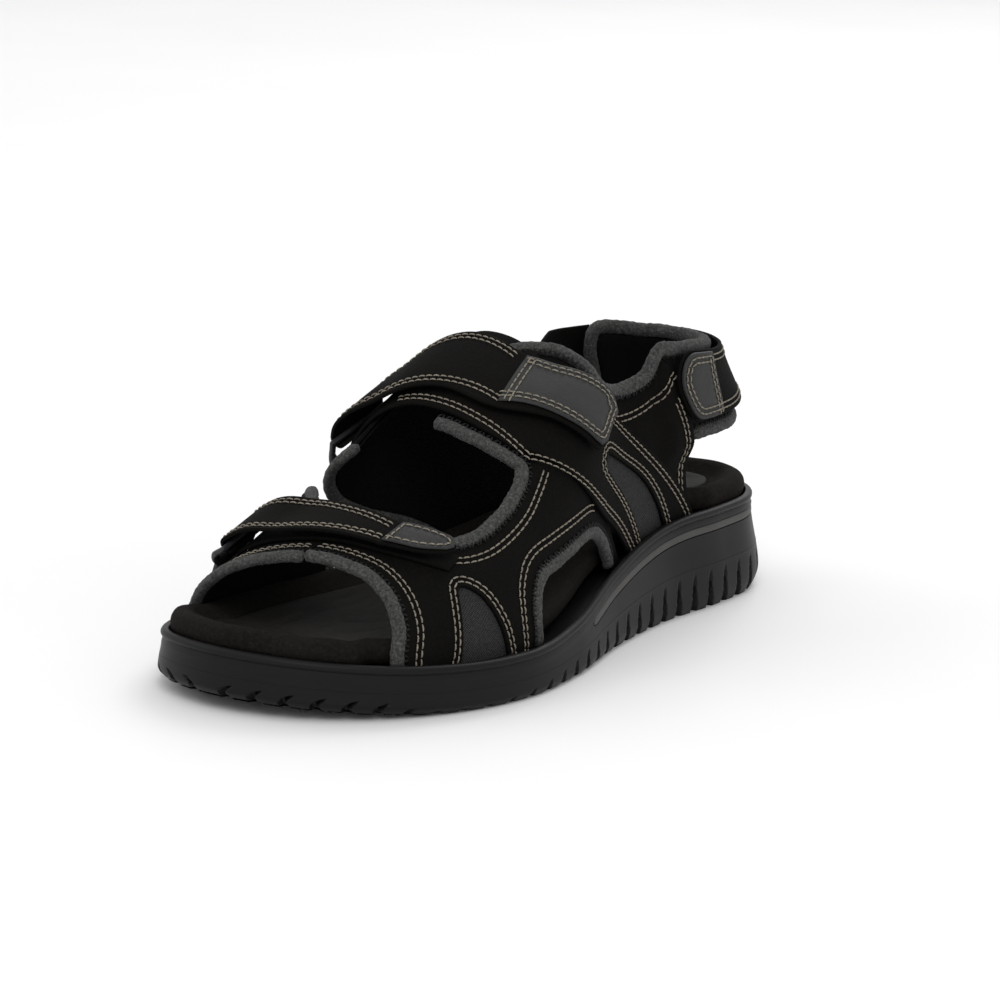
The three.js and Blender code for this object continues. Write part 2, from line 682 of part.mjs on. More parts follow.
const rear_fin_insert = outlined(
  runToRidge([[46, 4.8], [36.9, 17.5], [27.8, 27.6], [16.6, 37.2], [9.6, 43.6]]),
  runToRidge([[12, 45.6], [29.6, 35.2], [45.2, 24.4], [55, 13.6], [60.6, 4.8]]));
add('rear_fin_insert', laid(rear_fin_insert, overFoot, over_in, over_in + 0.8), MELANGE, 0.95);

// The heel quarter stands behind the band, up to the collar and back to the free heel.
const outer_collar_edge = [
  fromRidge(1, -9, 4), fromRidge(1, -6, 26), [9, 70], [28, 59], [44, 55], [56, 56], [63, 60], [66, 64.2],
];
const quarter_shape = () => outlined(
  outer_collar_edge, [[67, 36], [79, 34]], [[79, 34], [77.5, 18], [81, 4]], [[81.5, 0], [75, 0]],
  [[62, 13], [42, 32], [12, 52], [-5, 68], fromRidge(1, -12, 24), fromRidge(1, -14, 4)]);
add('lateral_heel_quarter', laid(quarter_shape(), OUT, shell_in, shell_out), NUBUCK, 0.85);
add('lateral_quarter_lining', laid(quarter_shape(), OUT, lining_in, lining_in + lining, 10.5),
  BLACK_TEXTILE, 0.9);

// ---- Inner side ----------------------------------------------------------------------------
const inner_toe_edge = [
  [-110, 0], [-111, 10], [-112, 20], [-111, 31], [-109.5, 42], fromRidge(-1, -105, 0.5),
];
const inner_vamp_rear = [
  fromRidge(-1, -84, 8), [-76, 49], [-63, 46], [-51, 38], [-41, 25], [-36.5, 10], [-36, 0],
];
const inner_vamp_shape = () => outlined(inner_toe_edge, [fromRidge(-1, -84, 0.5)], inner_vamp_rear);
add('medial_vamp', laid(inner_vamp_shape(), IN, shell_in, shell_out), NUBUCK, 0.85);
add('medial_vamp_lining', laid(inner_vamp_shape(), IN, lining_in, lining_in + lining, 10.5),
  BLACK_TEXTILE, 0.9);

const inner_quarter_front = [
  [17, 0], [10, 10], [-4, 19.5], [-20, 27], [-34, 36], [-41, 47], [-42, 58], fromRidge(-1, -41, 27),
];
const inner_collar_edge = [
  fromRidge(-1, -14, 26), [-3, 73], [10, 65], [28, 58], [44, 55], [58, 56], [72, 60],
];
const inner_fin_low = [[45, 6], [36, 17], [27, 26], [18, 33]];
const inner_fin_high = [[14, 41], [30, 35], [46, 25], [56, 14], [61, 6]];
const inner_quarter_shape = () => outlined(
  inner_quarter_front, inner_collar_edge, [[78, 38], [77.5, 18], [81, 3]], [[81.5, 0]]);
add('medial_quarter', laid(withHoles(inner_quarter_shape(), outlined(inner_fin_low, inner_fin_high)),
  IN, shell_in, shell_out), NUBUCK, 0.85);
add('medial_quarter_lining', laid(inner_quarter_shape(), IN, lining_in, lining_in + lining, 10.5),
  BLACK_TEXTILE, 0.9);
const medial_fin_insert = outlined(
  [[46, 6.8], [36.9, 17.6], [27.8, 26.8], [18.6, 34]],
  [[14.8, 40], [29.6, 34.2], [45.2, 24.4], [55, 13.6], [60, 6.8]]);
add('medial_fin_insert', laid(medial_fin_insert, IN, shell_in, shell_in + 0.8), MELANGE, 0.95);

// ---- Heel band -----------------------------------------------------------------------------
const band_low = 37;
const band_high = 65;
const band_outer_end = heel_station - 67.6;
const band_inner_end = -(heel_station - 112);
const band_shape = new THREE.Shape();
band_shape.moveTo(band_outer_end, band_low);
band_shape.lineTo(band_outer_end, band_high);
band_shape.lineTo(band_inner_end + 8, band_high);
band_shape.quadraticCurveTo(band_inner_end, band_high, band_inner_end, band_high - 8);
band_shape.lineTo(band_inner_end, band_low + 8);
band_shape.quadraticCurveTo(band_inner_end, band_low, band_inner_end + 8, band_low);
add('heel_band', laid(band_shape, roundHeel, shell_in, band_out, 9), BLACK_TEXTILE, 0.9);

// ---- Bindings ------------------------------------------------------------------------------
const bind_away = (shell_in + shell_out) / 2;
const between = (side, edge, foot) => [
  foot, ...edge.slice(1, -1), fromRidge(side, edge[edge.length - 1][0], 3),
];
add('toe_binding_lateral', bound(shifted(between(1, outer_toe_edge, [-108.3, 2.4]), edge_clearance),
  OUT, bind_away), MELANGE, 0.95);
add('toe_binding_medial', bound(shifted(between(-1, inner_toe_edge, [-110.3, 2.8]), edge_clearance),
  IN, bind_away), MELANGE, 0.95);
const arch_run = [[-48.4, 2.6], ...outer_arch_edge.slice(1, -1), [22.8, 3.6]];
add('arch_binding_lateral', bound(shifted(arch_run, -edge_clearance), OUT, bind_away), MELANGE, 0.95);
add('instep_binding_lateral', bound(shifted([
  ...outer_instep_edge.slice(1), [-31.6, 60], [-33.5, 66], [-35.8, 78], fromRidge(1, -36.2, 4),
], edge_clearance), OUT, bind_away), MELANGE, 0.95);
add('instep_binding_medial', bound(shifted([...inner_vamp_rear.slice(1, -1), [-36.2, 2.8]],
  edge_clearance + 0.1), IN, bind_away), MELANGE, 0.95);
add('quarter_binding_medial', bound(shifted([[14.6, 4], ...inner_quarter_front.slice(1)],
  edge_clearance), IN, bind_away), MELANGE, 0.95);

// ---- Collar and heel bindings --------------------------------------------------------------
const band_bind = edge_clearance + 0.9;
const collar_side = shifted(outer_collar_edge, edge_clearance + 0.35).map(([station, up]) => (
  [heel_station - station, up]));
const collar_start = collar_side.filter(([around]) => around > 100);
add('collar_binding', bound([
  ...collar_start, [91.5, band_high + band_bind + 0.4], [86, band_high + band_bind],
  [50, band_high + band_bind], [10, band_high + band_bind], [-25, band_high + band_bind],
  [band_inner_end + 7, band_high + band_bind], [band_inner_end + 0.6, band_high + 0.6],
  [band_inner_end - band_bind, band_high - 6],
  [band_inner_end - band_bind, band_low + 6], [band_inner_end + 0.6, band_low - 0.6],
  [band_inner_end + 7, band_low - band_bind],
  [-20, band_low - band_bind], [20, band_low - band_bind], [60, band_low - band_bind],
  [band_outer_end - 14, band_low - band_bind],
], roundHeel, (shell_in + band_out) / 2), MELANGE, 0.95);
add('medial_collar_binding', bound(shifted([
  [-11, 80], ...inner_collar_edge.slice(1, 6),
], edge_clearance), IN, bind_away), MELANGE, 0.95);

// ---- Straps that close over the foot -------------------------------------------------------
const strap_middle = (strap_in + strap_out) / 2;
const bar_away = strap_middle + strap_lift - fold_radius;
const fold_turn = 2.9;            // how far the strap's end is turned round the bar, in radians
const fold_stretch = 4;           // pattern length of the folded end over its real length

// A ring's own frame: its bar runs straight along `along`, `out` leaves the foot, `down` points
// from the bar towards the ring's sewn end.
function barFrame(bar, from, to) {
  const middle = (from + to) / 2;
  const origin = overFoot(middle, bar, bar_away);
  const span = overFoot(to, bar, bar_away).sub(overFoot(from, bar, bar_away));
  const along = span.clone().normalize();
  const down = overFoot(middle, bar - 1, bar_away).sub(overFoot(middle, bar + 1, bar_away));
  down.addScaledVector(along, -down.dot(along)).normalize();
  const out = along.clone().cross(down);
  if (out.dot(overFoot(middle, bar, 9).sub(overFoot(middle, bar, 0))) < 0) out.negate();
  return { bar, middle, origin, along, down, out, per_station: span.length() / (to - from) };
}
// The folding strap: round the bar, then over the foot to its free end.
function strapPlace(frame) {
  return (station, across, away) => {
    const { bar, middle, origin, along, down, out, per_station } = frame;
    const straight = origin.clone().addScaledVector(along, (station - middle) * per_station);
    const radius = fold_radius + away - strap_middle;
    if (across < bar) {
      const turn = (bar - across) / (fold_radius * fold_stretch);
      return straight.addScaledVector(out, radius * Math.cos(turn))
        .addScaledVector(down, radius * Math.sin(turn));
    }
    straight.addScaledVector(out, radius).addScaledVector(down, bar - across);
    const raised = away + strap_lift * (1 - smoothstep(across, bar, bar + 20));
    return straight.lerp(overFoot(station, across, raised), smoothstep(across, bar + 1, bar + 16));
  };
}
// A ring: `u` along its bar, `v` from the bar down to the sewn end, `depth` outward.
function ringPlace(frame, seat) {
  return (u, v, depth) => {
    const { bar, middle, origin, along, down, out, per_station } = frame;
    const straight = origin.clone().addScaledVector(along, u).addScaledVector(down, v)
      .addScaledVector(out, depth);
    const away = lerp(bar_away, seat, smoothstep(v, 0, 14)) + depth;
    return straight.lerp(overFoot(middle + u / per_station, bar - v, away), smoothstep(v, 3.4, 9));
  };
}
const ring_seat = shell_out + gap + 0.2 + ring_thickness / 2;
const half_moon = (half_width, top, bottom) => {
  const count = 9;
  return Array.from({ length: count + 1 }, (_, i) => {
    const turn = Math.PI * i / count;
    return [half_width * Math.cos(turn), top + (bottom - top) * Math.sin(turn)];
  });
};
const polygon = (points) => new THREE.Shape(points.map(([a, b]) => new THREE.Vector2(a, b)));
function ringShape(strap_width) {
  const w = strap_width / 2;
  const half_bar = ring_bar / 2;
  const outer = polygon([
    [-w - 3, -half_bar], [w + 3, -half_bar], [w + 3, 4.2], ...half_moon(w - 1.2, 9, 21.5),
    [-w - 3, 4.2],
  ]);
  const slot = polygon([
    [-w - 0.9, half_bar], [-w - 0.9, 4.6], [-w + 2, 6.8], [w - 2, 6.8], [w + 0.9, 4.6], [w + 0.9, half_bar],
  ]);
  return withHoles(outer, slot, polygon(half_moon(w - 3.6, 9.6, 18.6)));
}
const plateShape = (strap_width) => polygon(half_moon(strap_width / 2 - 4.3, 10.2, 17.9));

function addStrap(name, frame, width, shapes) {
  const place = strapPlace(frame);
  add(`${name}_ring`, laid(ringShape(width), ringPlace(frame, ring_seat),
    -ring_thickness / 2, ring_thickness / 2, 7), PLASTIC, 0.45);
  add(`${name}_ring_plate`, laid(plateShape(width), ringPlace(frame, ring_seat),
    -ring_thickness / 2, ring_thickness / 2 + 0.5, 7), SMOOTH_GREY, 0.6);
  add(`${name}_loop_patch`, laid(shapes.loop, overFoot, loop_in, loop_in + patch), BLACK_TEXTILE, 1);
  add(`${name}_strap`, laid(shapes.strap, place, strap_in, strap_out, 7), NUBUCK, 0.85);
  add(`${name}_hook_patch`, laid(shapes.hook, place, hook_in, hook_in + patch), BLACK_TEXTILE, 1);
  add(`${name}_tab`, laid(shapes.tab, place, tab_in, tab_in + tab_leather), SMOOTH_GREY, 0.6);
}
const fold_length = fold_turn * fold_radius * fold_stretch;

// Toe strap.
const toe_bar = -33;
const toe_frame = barFrame(toe_bar, -101, -77);
const toe_strap_shape = outlined(
  [[-101, toe_bar - fold_length], [-101, toe_bar]],
  [[-101, toe_bar + 3], [-101, -12], [-97, 5], [-92.5, 19]], [[-92.5, 19], [-85, 28.5], [-77, 34.5]],
  [[-74, 35.5], [-71.5, 34.5], [-71.5, 32]],
  [[-74, 26], [-78.5, 19], [-78.5, 0], [-77, -20], [-77, toe_bar + 3]],
  [[-77, toe_bar], [-77, toe_bar - fold_length]]);
addStrap('toe', toe_frame, 24, {
  strap: toe_strap_shape,
  loop: outlined([[-96, -6], [-93, 8], [-88.5, 20]], [[-79, 31]], [[-81, 22], [-81.5, 8], [-80, -6]]),
  hook: outlined([[-92.5, 10], [-90, 19], [-84, 27]], [[-77, 32]], [[-78.5, 26], [-80.5, 18], [-80.5, 10]]),
  tab: outlined([[-92, 18.6], [-85, 27.8], [-77.2, 33.8]], [[-74.4, 34.8], [-72, 34], [-72, 31.8]],
    [[-74.6, 26.2], [-79.2, 18.6]]),
});
add('toe_strap_base', laid(outlined(
  [[-99, toe_bar - 1], [-99, -12], [-95, 5], [-91, 18], [-84, 30], [-78, 38]],
  [[-71, 37], [-76, 27], [-80, 18], [-80, 0], [-79, -20], [-79, toe_bar - 1]]),
overFoot, over_in, over_out), NUBUCK, 0.85);

// Instep strap.
const instep_frame = barFrame(instep_bar, -35, -17);
const instep_strap_shape = outlined(
  [[-35, instep_bar - fold_length], [-35, instep_bar]],
  [[-34.8, instep_bar + 4], [-33, -16], [-32, 0], [-31, 22], [-19, 44], [-9, 59]],
  [[-9, 59], [-6, 62.5], [-2, 62.5]], [[5, 56.5], [9, 52], [9.5, 48.5]],
  [[6, 46.5], [-4, 37], [-12, 28.5], [-16, 20], [-16, 0], [-16.5, -18], [-17, instep_bar + 4]],
  [[-17, instep_bar], [-17, instep_bar - fold_length]]);
addStrap('instep', instep_frame, 18 * instep_frame.per_station, {
  strap: instep_strap_shape,
  loop: outlined([[-30.5, -8], [-29.5, 10], [-28.5, 24], [-17, 44], [-7, 57]],
    [[5, 50], [-6, 37], [-18, 22], [-18, -8]]),
  hook: outlined([[-28.5, 24], [-17, 44], [-7, 57]], [[5, 50], [-6, 37], [-17.5, 23]]),
  tab: outlined([[-30, 22.5], [-18.6, 43.4], [-8.6, 58]], [[-5.6, 61.3], [-2.4, 61.3]],
    [[4.4, 55.7], [8.2, 51.4], [8.5, 49.2]], [[5.2, 46.6], [-4.6, 37.6], [-12, 29.6], [-16.6, 20.5]]),
});

// ---- Heel strap ----------------------------------------------------------------------------
const heel_loop_in = band_out + gap;
const heel_hook_in = heel_loop_in + patch + gap;
const heel_strap_in = heel_hook_in + patch + gap;
const heel_strap_out = heel_strap_in + leather;
const heel_fold = -46;            // where the free part starts, round from the heel's middle
const heel_strap_end = 89;        // where it ends on the outer side
const strap_low = 41;
const strap_high = 66;
add('heel_loop_patch', laid(outlined(
  [[-24, strap_low + 2], [heel_strap_end - 9, strap_low + 2]],
  [[heel_strap_end - 9, strap_high - 4], [-24, strap_high - 4]]),
roundHeel, heel_loop_in, heel_loop_in + patch), BLACK_TEXTILE, 1);
const rootPlace = (around, up, away) => roundHeel(
  around, up, away + (heel_strap_in - over_in) * smoothstep(around, -90, -60));
add('heel_strap_root', laid(outlined(
  [[-98, 42], [-96, 38], [-90, 37]], [[-70, 39], [heel_fold - 0.3, strap_low]],
  [[heel_fold - 0.3, strap_high], [-70, 64.5]], [[-88, 59], [-95, 52]]),
rootPlace, over_in, over_out), NUBUCK, 0.85);
const heel_strap_edge = (inset, from) => outlined(
  [[from, strap_low + inset], [heel_strap_end - 22, strap_low - 1 + inset]],
  [[-17, 40 + inset], [-7, 41 + inset], [-1 - inset, 50], [-inset, 56], [-3 - inset, 63], [-9, 67 - inset],
    [-17, 67 - inset]].map(([past, up]) => [heel_strap_end + past, up]),
  [[heel_strap_end - 26, strap_high + 0.5 - inset], [from, strap_high - inset]]);
add('heel_strap', laid(heel_strap_edge(0, heel_fold + 0.3), roundHeel, heel_strap_in, heel_strap_out, 7.5),
  NUBUCK, 0.85);
add('heel_tab', laid(heel_strap_edge(0.8, heel_strap_end - 26.5), roundHeel, heel_strap_out + gap,
  heel_strap_out + gap + tab_leather), SMOOTH_GREY, 0.6);
const hook_low = strap_low + 2.5;
const hook_high = strap_high - 4.5;
add('heel_hook_patch', laid(outlined(
  [[heel_strap_end - 39, hook_low], [heel_strap_end - 11, hook_low]], [[heel_strap_end - 6, 54]],
  [[heel_strap_end - 11, hook_high], [heel_strap_end - 39, hook_high]],
), roundHeel, heel_hook_in, heel_hook_in + patch), BLACK_TEXTILE, 1);

// The frame's origin is under the middle of the whole, on the ground.
const whole = new THREE.Box3().setFromObject(group);
group.position.set(-(whole.min.x + whole.max.x) / 2, -(whole.min.y + whole.max.y) / 2, -whole.min.z);

export default group;
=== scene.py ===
"""Looks of a strappy sport sandal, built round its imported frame.

Lengths inside the pattern functions are in millimetres; meshes are written in metres.
Toe towards -Y, heel towards +Y, outer (little-toe) side towards +X, ground at Z = 0.
"""
import math

import bpy
import numpy as np
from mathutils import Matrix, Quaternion, Vector
from mathutils.geometry import delaunay_2d_cdt


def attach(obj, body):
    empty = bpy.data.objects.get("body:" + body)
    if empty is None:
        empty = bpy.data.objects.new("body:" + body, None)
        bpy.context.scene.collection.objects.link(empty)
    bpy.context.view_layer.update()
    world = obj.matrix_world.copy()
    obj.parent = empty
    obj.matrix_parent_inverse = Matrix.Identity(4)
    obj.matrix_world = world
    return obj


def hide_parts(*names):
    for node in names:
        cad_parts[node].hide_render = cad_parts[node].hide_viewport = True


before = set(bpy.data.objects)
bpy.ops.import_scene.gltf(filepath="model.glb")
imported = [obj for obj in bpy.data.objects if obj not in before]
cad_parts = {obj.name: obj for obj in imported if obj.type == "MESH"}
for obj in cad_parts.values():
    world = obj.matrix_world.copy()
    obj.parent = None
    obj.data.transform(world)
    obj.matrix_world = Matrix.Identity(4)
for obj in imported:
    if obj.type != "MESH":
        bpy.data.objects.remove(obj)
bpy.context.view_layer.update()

bl_info = {
    "name": "Strappy Sport Sandal",
    "version": (1, 0, 0),
    "blender": (4, 5, 0),
    "location": "3D View > Sidebar > Sandal",
    "description": "Builds the visible pieces of a strappy sport sandal round its frame",
    "category": "Object",
}

MM = 0.001

# ---- Sizes shared with the frame -------------------------------------------------------------
OVERALL_LENGTH = 290.0
FOREFOOT_WIDTH = 113.0
HEEL_WIDTH = 80.0
COLLAR_HEIGHT = 108.0
RIM_FOREFOOT = 16.0
RIM_HEEL = 35.5
TOE_SPRING = 5.5
HEEL_SPRING = 2.5
RIM_INSET_FOREFOOT = 1.5
RIM_INSET_HEEL = 4.5
RIM_WALL = 2.0
UPPER_TUCK = 5.0
UPPER_CLEARANCE = 1.2
TREAD_SHARE = 0.46
STRIPE_DROP = 6.6
STRIPE_HEIGHT = 2.6
STRIPE_REACH = 178.0
ROLL_HEIGHT = 6.2
SEAM_GAP = 0.4
BED_CLEARANCE = 1.1
LINING = (0.0, 0.6)
SHELL = (1.0, 2.4)
OVER = (2.8, 4.2)
LOOP = (4.6, 5.3)
HOOK = (5.7, 6.4)
STRAP = (6.8, 8.2)
TAB = (8.6, 9.6)
HEEL_PAD = (1.0, 4.6)
HEEL_LOOP = (5.0, 5.7)
HEEL_HOOK = (6.1, 6.8)
HEEL_STRAP = (7.2, 8.6)
HEEL_TAB = (9.0, 10.0)
EDGE_CLEARANCE = 2.3
CENTRE_SHIFT = np.array([-1.99654, 0.0, 0.0])

# ---- Sole outline ----------------------------------------------------------------------------
# Share of the length from the heel, share of half the local width; outer side, then inner side.
OUTLINE = [
    (0, 0), (0.019, 0.5), (0.079, 0.82), (0.172, 0.93), (0.31, 0.92), (0.448, 0.96),
    (0.586, 1.06), (0.707, 1.07), (0.817, 0.95), (0.914, 0.68), (0.979, 0.28),
    (1, -0.18), (0.972, -0.61), (0.897, -0.88), (0.783, -0.99), (0.672, -0.975),
    (0.552, -0.88), (0.431, -0.79), (0.31, -0.83), (0.19, -0.92), (0.086, -0.84), (0.019, -0.5),
]
BEND = 90.0
HEEL_STATION = 160.0
RIDGE = [
    (-146, 20), (-134, 34), (-112, 43), (-85, 49.5), (-60, 59), (-35, 75), (-15, 88), (0, 96),
    (15, 103), (30, 108), (45, 110),
]
ANKLE_STATION = 5.0
ANKLE_FRONT = 32.0
ANKLE_BACK = 104.0
ANKLE_HALF_WIDTH = 25.0
RIDGE_SHIFT = -10.0
SECTION_STEPS = 24


def smoothstep(x, low, high):
    """Eased 0 to 1 between low and high."""
    t = np.clip((np.asarray(x, float) - low) / (high - low), 0, 1)
    return t * t * (3 - 2 * t)


def lerp(a, b, t):
    """Straight blend from a to b."""
    return a + (b - a) * t


def unit(v):
    """Directions of length one."""
    return v / np.linalg.norm(v, axis=-1, keepdims=True)


def running_length(points):
    """Length along a line of points, from its start to each of them."""
    return np.concatenate([[0], np.cumsum(np.linalg.norm(np.diff(points, axis=0), axis=1))])


def through(points, t, loop=False):
    """Points on the smooth centripetal line through the given points, at shares t of its length."""
    points = np.asarray(points, float)
    n = len(points)
    p = (n if loop else n - 1) * np.asarray(t, float)
    i = np.floor(p + 1e-12).astype(int)
    w = p - i
    if loop:
        four = [points[(i + k) % n] for k in (-1, 0, 1, 2)]
    else:
        late = i >= n - 1
        i = np.where(late, n - 2, i)
        w = np.where(late, 1.0, w)
        longer = np.vstack([2 * points[0] - points[1], points, 2 * points[-1] - points[-2]])
        four = [longer[i + k] for k in (0, 1, 2, 3)]
    p0, p1, p2, p3 = four
    d0, d1, d2 = [
        np.sqrt(np.linalg.norm(b - a, axis=-1, keepdims=True)) for a, b in ((p0, p1), (p1, p2), (p2, p3))
    ]
    d1 = np.where(d1 < 1e-4, 1.0, d1)
    d0 = np.where(d0 < 1e-4, d1, d0)
    d2 = np.where(d2 < 1e-4, d1, d2)
    t1 = ((p1 - p0) / d0 - (p2 - p0) / (d0 + d1) + (p2 - p1) / d1) * d1
    t2 = ((p2 - p1) / d1 - (p3 - p1) / (d1 + d2) + (p3 - p2) / d2) * d1
    w = w[..., None]
    return p1 + t1 * w + (3 * (p2 - p1) - 2 * t1 - t2) * w ** 2 + (2 * (p1 - p2) + t1 + t2) * w ** 3


def make_side(side):
    """One side of the sole's outline as a fine line from toe to heel, with its running length."""
    along, out = np.array(OUTLINE, float).T
    width = lerp(HEEL_WIDTH, FOREFOOT_WIDTH, smoothstep(along, 0.2, 0.75))
    corners = np.stack([out * width / 2, OVERALL_LENGTH * (0.5 - along)], axis=1)
    steps = np.arange(661)
    share = (660 - steps if side > 0 else 660 + steps) / 1320
    points = through(corners, share, loop=True)
    return points, running_length(points)


SIDES = {1: make_side(1), -1: make_side(-1)}


def along_side(side, distance):
    """Places on one side's line, with their outward directions."""
    points, run = SIDES[side]
    wanted = np.clip(distance, 0, run[-1])
    low = np.clip(np.searchsorted(run, wanted, side="right") - 1, 0, len(run) - 2)
    share = ((wanted - run[low]) / (run[low + 1] - run[low]))[..., None]
    point = points[low] * (1 - share) + points[low + 1] * share
    step = unit(points[low + 1] - points[low])
    return point, np.stack([side * step[..., 1], -side * step[..., 0]], axis=-1)


def run_at_station(side, station):
    """Running length at a station; past the bend the station goes on round the heel."""
    points, run = SIDES[side]
    ys = np.maximum.accumulate(points[:, 1])
    at = np.interp(np.minimum(station, BEND), ys, run)
    past = np.clip((station - BEND) / (HEEL_STATION - BEND), 0, 1)
    return np.where(station <= BEND, at, lerp(at, run[-1], past))


def toe_lift(y):
    """Upward sweep towards the toe."""
    return TOE_SPRING * np.clip((-y - 70) / 75, 0, 1) ** 2


def spring_at(y):
    """Height of the ground face."""
    return toe_lift(y) + HEEL_SPRING * np.clip((y - 112) / 33, 0, 1) ** 2


def rise_at(y):
    """Share of the rise from the forefoot to the heel."""
    return smoothstep(y, -60, 80)


def rim_at(y):
    """Height of the sole's rim."""
    return lerp(RIM_FOREFOOT, RIM_HEEL, rise_at(y)) + toe_lift(y)


def parting_at(y):
    """Height where tread and midsole meet."""
    return spring_at(y) + TREAD_SHARE * (rim_at(y) - spring_at(y))


def rim_inset(y):
    """How far inside the widest line the rim stands."""
    return lerp(RIM_INSET_FOREFOOT, RIM_INSET_HEEL, rise_at(y))


def pocket_inset(y):
    """Inner wall of the rim."""
    return rim_inset(y) + RIM_WALL


def foot_inset(y):
    """Where the foot form starts."""
    return pocket_inset(y) + UPPER_CLEARANCE + OVER[1]


def wall_inset(y, share):
    """How far inside the widest line the side wall stands, at a share of the sole's height."""
    low = 2.6 * (1 - np.clip(share, 0, 0.2) / 0.2) ** 2
    high = rim_inset(y) * smoothstep(share, 0.2, 1) ** 0.8
    return np.where(share < 0.2, low, high)


RIDGE_LINE = through([(0, y, z) for y, z in RIDGE], np.linspace(0, 1, 121))


def ridge_height(y):
    """Height of the foot form's ridge."""
    return np.interp(y, RIDGE_LINE[:, 1], RIDGE_LINE[:, 2])


def top_of_form(side, station):
    """Upper end of the form's section at each station, and how far the ankle is open there."""
    early = station < ANKLE_STATION
    y_front = station + (ANKLE_FRONT - ANKLE_STATION) * smoothstep(station, -60, ANKLE_STATION)
    x_front = RIDGE_SHIFT * smoothstep(station, -75, -15)
    turn = math.pi * np.clip((station - ANKLE_STATION) / (HEEL_STATION - ANKLE_STATION), 0, None)
    open_share = smoothstep(turn, 0, 1.1)
    x_back = side * ANKLE_HALF_WIDTH * np.sin(turn) + RIDGE_SHIFT * (1 - smoothstep(turn, 0, 1.2))
    middle = (ANKLE_FRONT + ANKLE_BACK) / 2
    y_back = middle - (ANKLE_BACK - ANKLE_FRONT) / 2 * np.cos(turn)
    z_back = lerp(ridge_height(ANKLE_FRONT), COLLAR_HEIGHT, open_share)
    front = np.stack([x_front, y_front, ridge_height(y_front)], axis=-1)
    back = np.stack([x_back, y_back, z_back], axis=-1)
    return np.where(early[:, None], front, back), np.where(early, 0.0, open_share)


def make_sections(side):
    """Bezier points of the form's section at every half millimetre of station, with running lengths."""
    station = np.arange(-146.0, 161.1, 0.5)
    point, out = along_side(side, run_at_station(side, station))
    y = point[:, 1]
    start = np.column_stack([point - out * foot_inset(y)[:, None], rim_at(y) - UPPER_TUCK])
    out = np.column_stack([out, np.zeros(len(out))])
    end, opened = top_of_form(side, station)
    height = end[:, 2] - start[:, 2]
    half = np.abs(start[:, 0] - end[:, 0])
    full = np.zeros(len(station))
    if side < 0:
        full = smoothstep(station, -100, -60) * (1 - smoothstep(station, 20, 60))
    low = start + out * (0.03 * height + 3 * full)[:, None]
    low[:, 2] += (0.52 + 0.12 * full) * height
    crown = end.copy()
    crown[:, 0] += side * (0.62 + 0.2 * full) * half
    rim = end + out
    rim[:, 2] -= 0.4 * height
    control = np.stack([start, low, lerp(crown, rim, opened[:, None]), end], axis=1)
    shares = np.linspace(0, 1, SECTION_STEPS + 1)
    points = bezier(control[:, None], shares[None, :])
    run = np.cumsum(np.linalg.norm(np.diff(points, axis=1), axis=2), axis=1)
    return control, np.column_stack([np.zeros(len(run)), run])


def bezier(control, t):
    """Points of cubic Bezier curves."""
    t = t[..., None]
    s = 1 - t
    a, b, c, d = (control[..., k, :] for k in range(4))
    return a * s ** 3 + 3 * b * s * s * t + 3 * c * s * t * t + d * t ** 3


SECTIONS = [make_sections(1), make_sections(-1)]
CONTROL = np.stack([s[0] for s in SECTIONS])
RUNS = np.stack([s[1] for s in SECTIONS])


def looked_up(side, station):
    """Section points and running lengths at any station, on either side."""
    k = np.where(np.asarray(side) > 0, 0, 1)
    at = np.clip((station + 146.0) * 2, 0, RUNS.shape[1] - 1.001)
    i = np.floor(at).astype(int)
    w = at - i
    control = CONTROL[k, i] * (1 - w)[:, None, None] + CONTROL[k, i + 1] * w[:, None, None]
    run = RUNS[k, i] * (1 - w)[:, None] + RUNS[k, i + 1] * w[:, None]
    return control, run


def section_length(side, station):
    """Length of the form's section from the sole's edge to its top."""
    station = np.atleast_1d(np.asarray(station, float))
    return looked_up(np.full(len(station), side), station)[1][:, -1]


def form_point(side, station, up):
    """A place on the foot form: `up` runs along the section from the sole's edge."""
    control, run = looked_up(side, station)
    i = (run[:, 1:SECTION_STEPS] < up[:, None]).sum(axis=1)
    rows = np.arange(len(i))
    share = (up - run[rows, i]) / (run[rows, i + 1] - run[rows, i])
    return bezier(control, (i + share) / SECTION_STEPS)


def lifted(point_at, a, b, away, outward):
    """The place with pattern coordinates a, b at a distance `away` from the form."""
    step = 0.8
    da = point_at(a + step, b) - point_at(a - step, b)
    db = point_at(a, b + step) - point_at(a, b - step)
    return point_at(a, b) + unit(np.cross(da, db)) * (away * outward)[:, None]


def placer(point_at, outward):
    """A function from pattern coordinates and distance outward to a place."""
    def place(a, b, away):
        a, b, away = np.broadcast_arrays(*(np.asarray(v, float) for v in (a, b, away)))
        flat = lifted(point_at, a.ravel(), b.ravel(), away.ravel(), outward)
        return flat.reshape(a.shape + (3,))
    return place


def over_point(station, across):
    """Over the instep: station, and distance from the ridge with the outer side positive."""
    side = np.where(across >= 0, 1, -1)
    length = looked_up(side, station)[1][:, -1]
    return form_point(side, station, length - np.abs(across))


def round_point(around, up):
    """Round the heel: distance from the heel's middle with the outer side positive."""
    return form_point(np.where(around >= 0, 1, -1), HEEL_STATION - np.abs(around), up)


OUT = placer(lambda a, b: form_point(np.ones(len(a)), a, b), 1)
IN = placer(lambda a, b: form_point(-np.ones(len(a)), a, b), -1)
OVER_FOOT = placer(over_point, -1)
ROUND_HEEL = placer(round_point, -1)

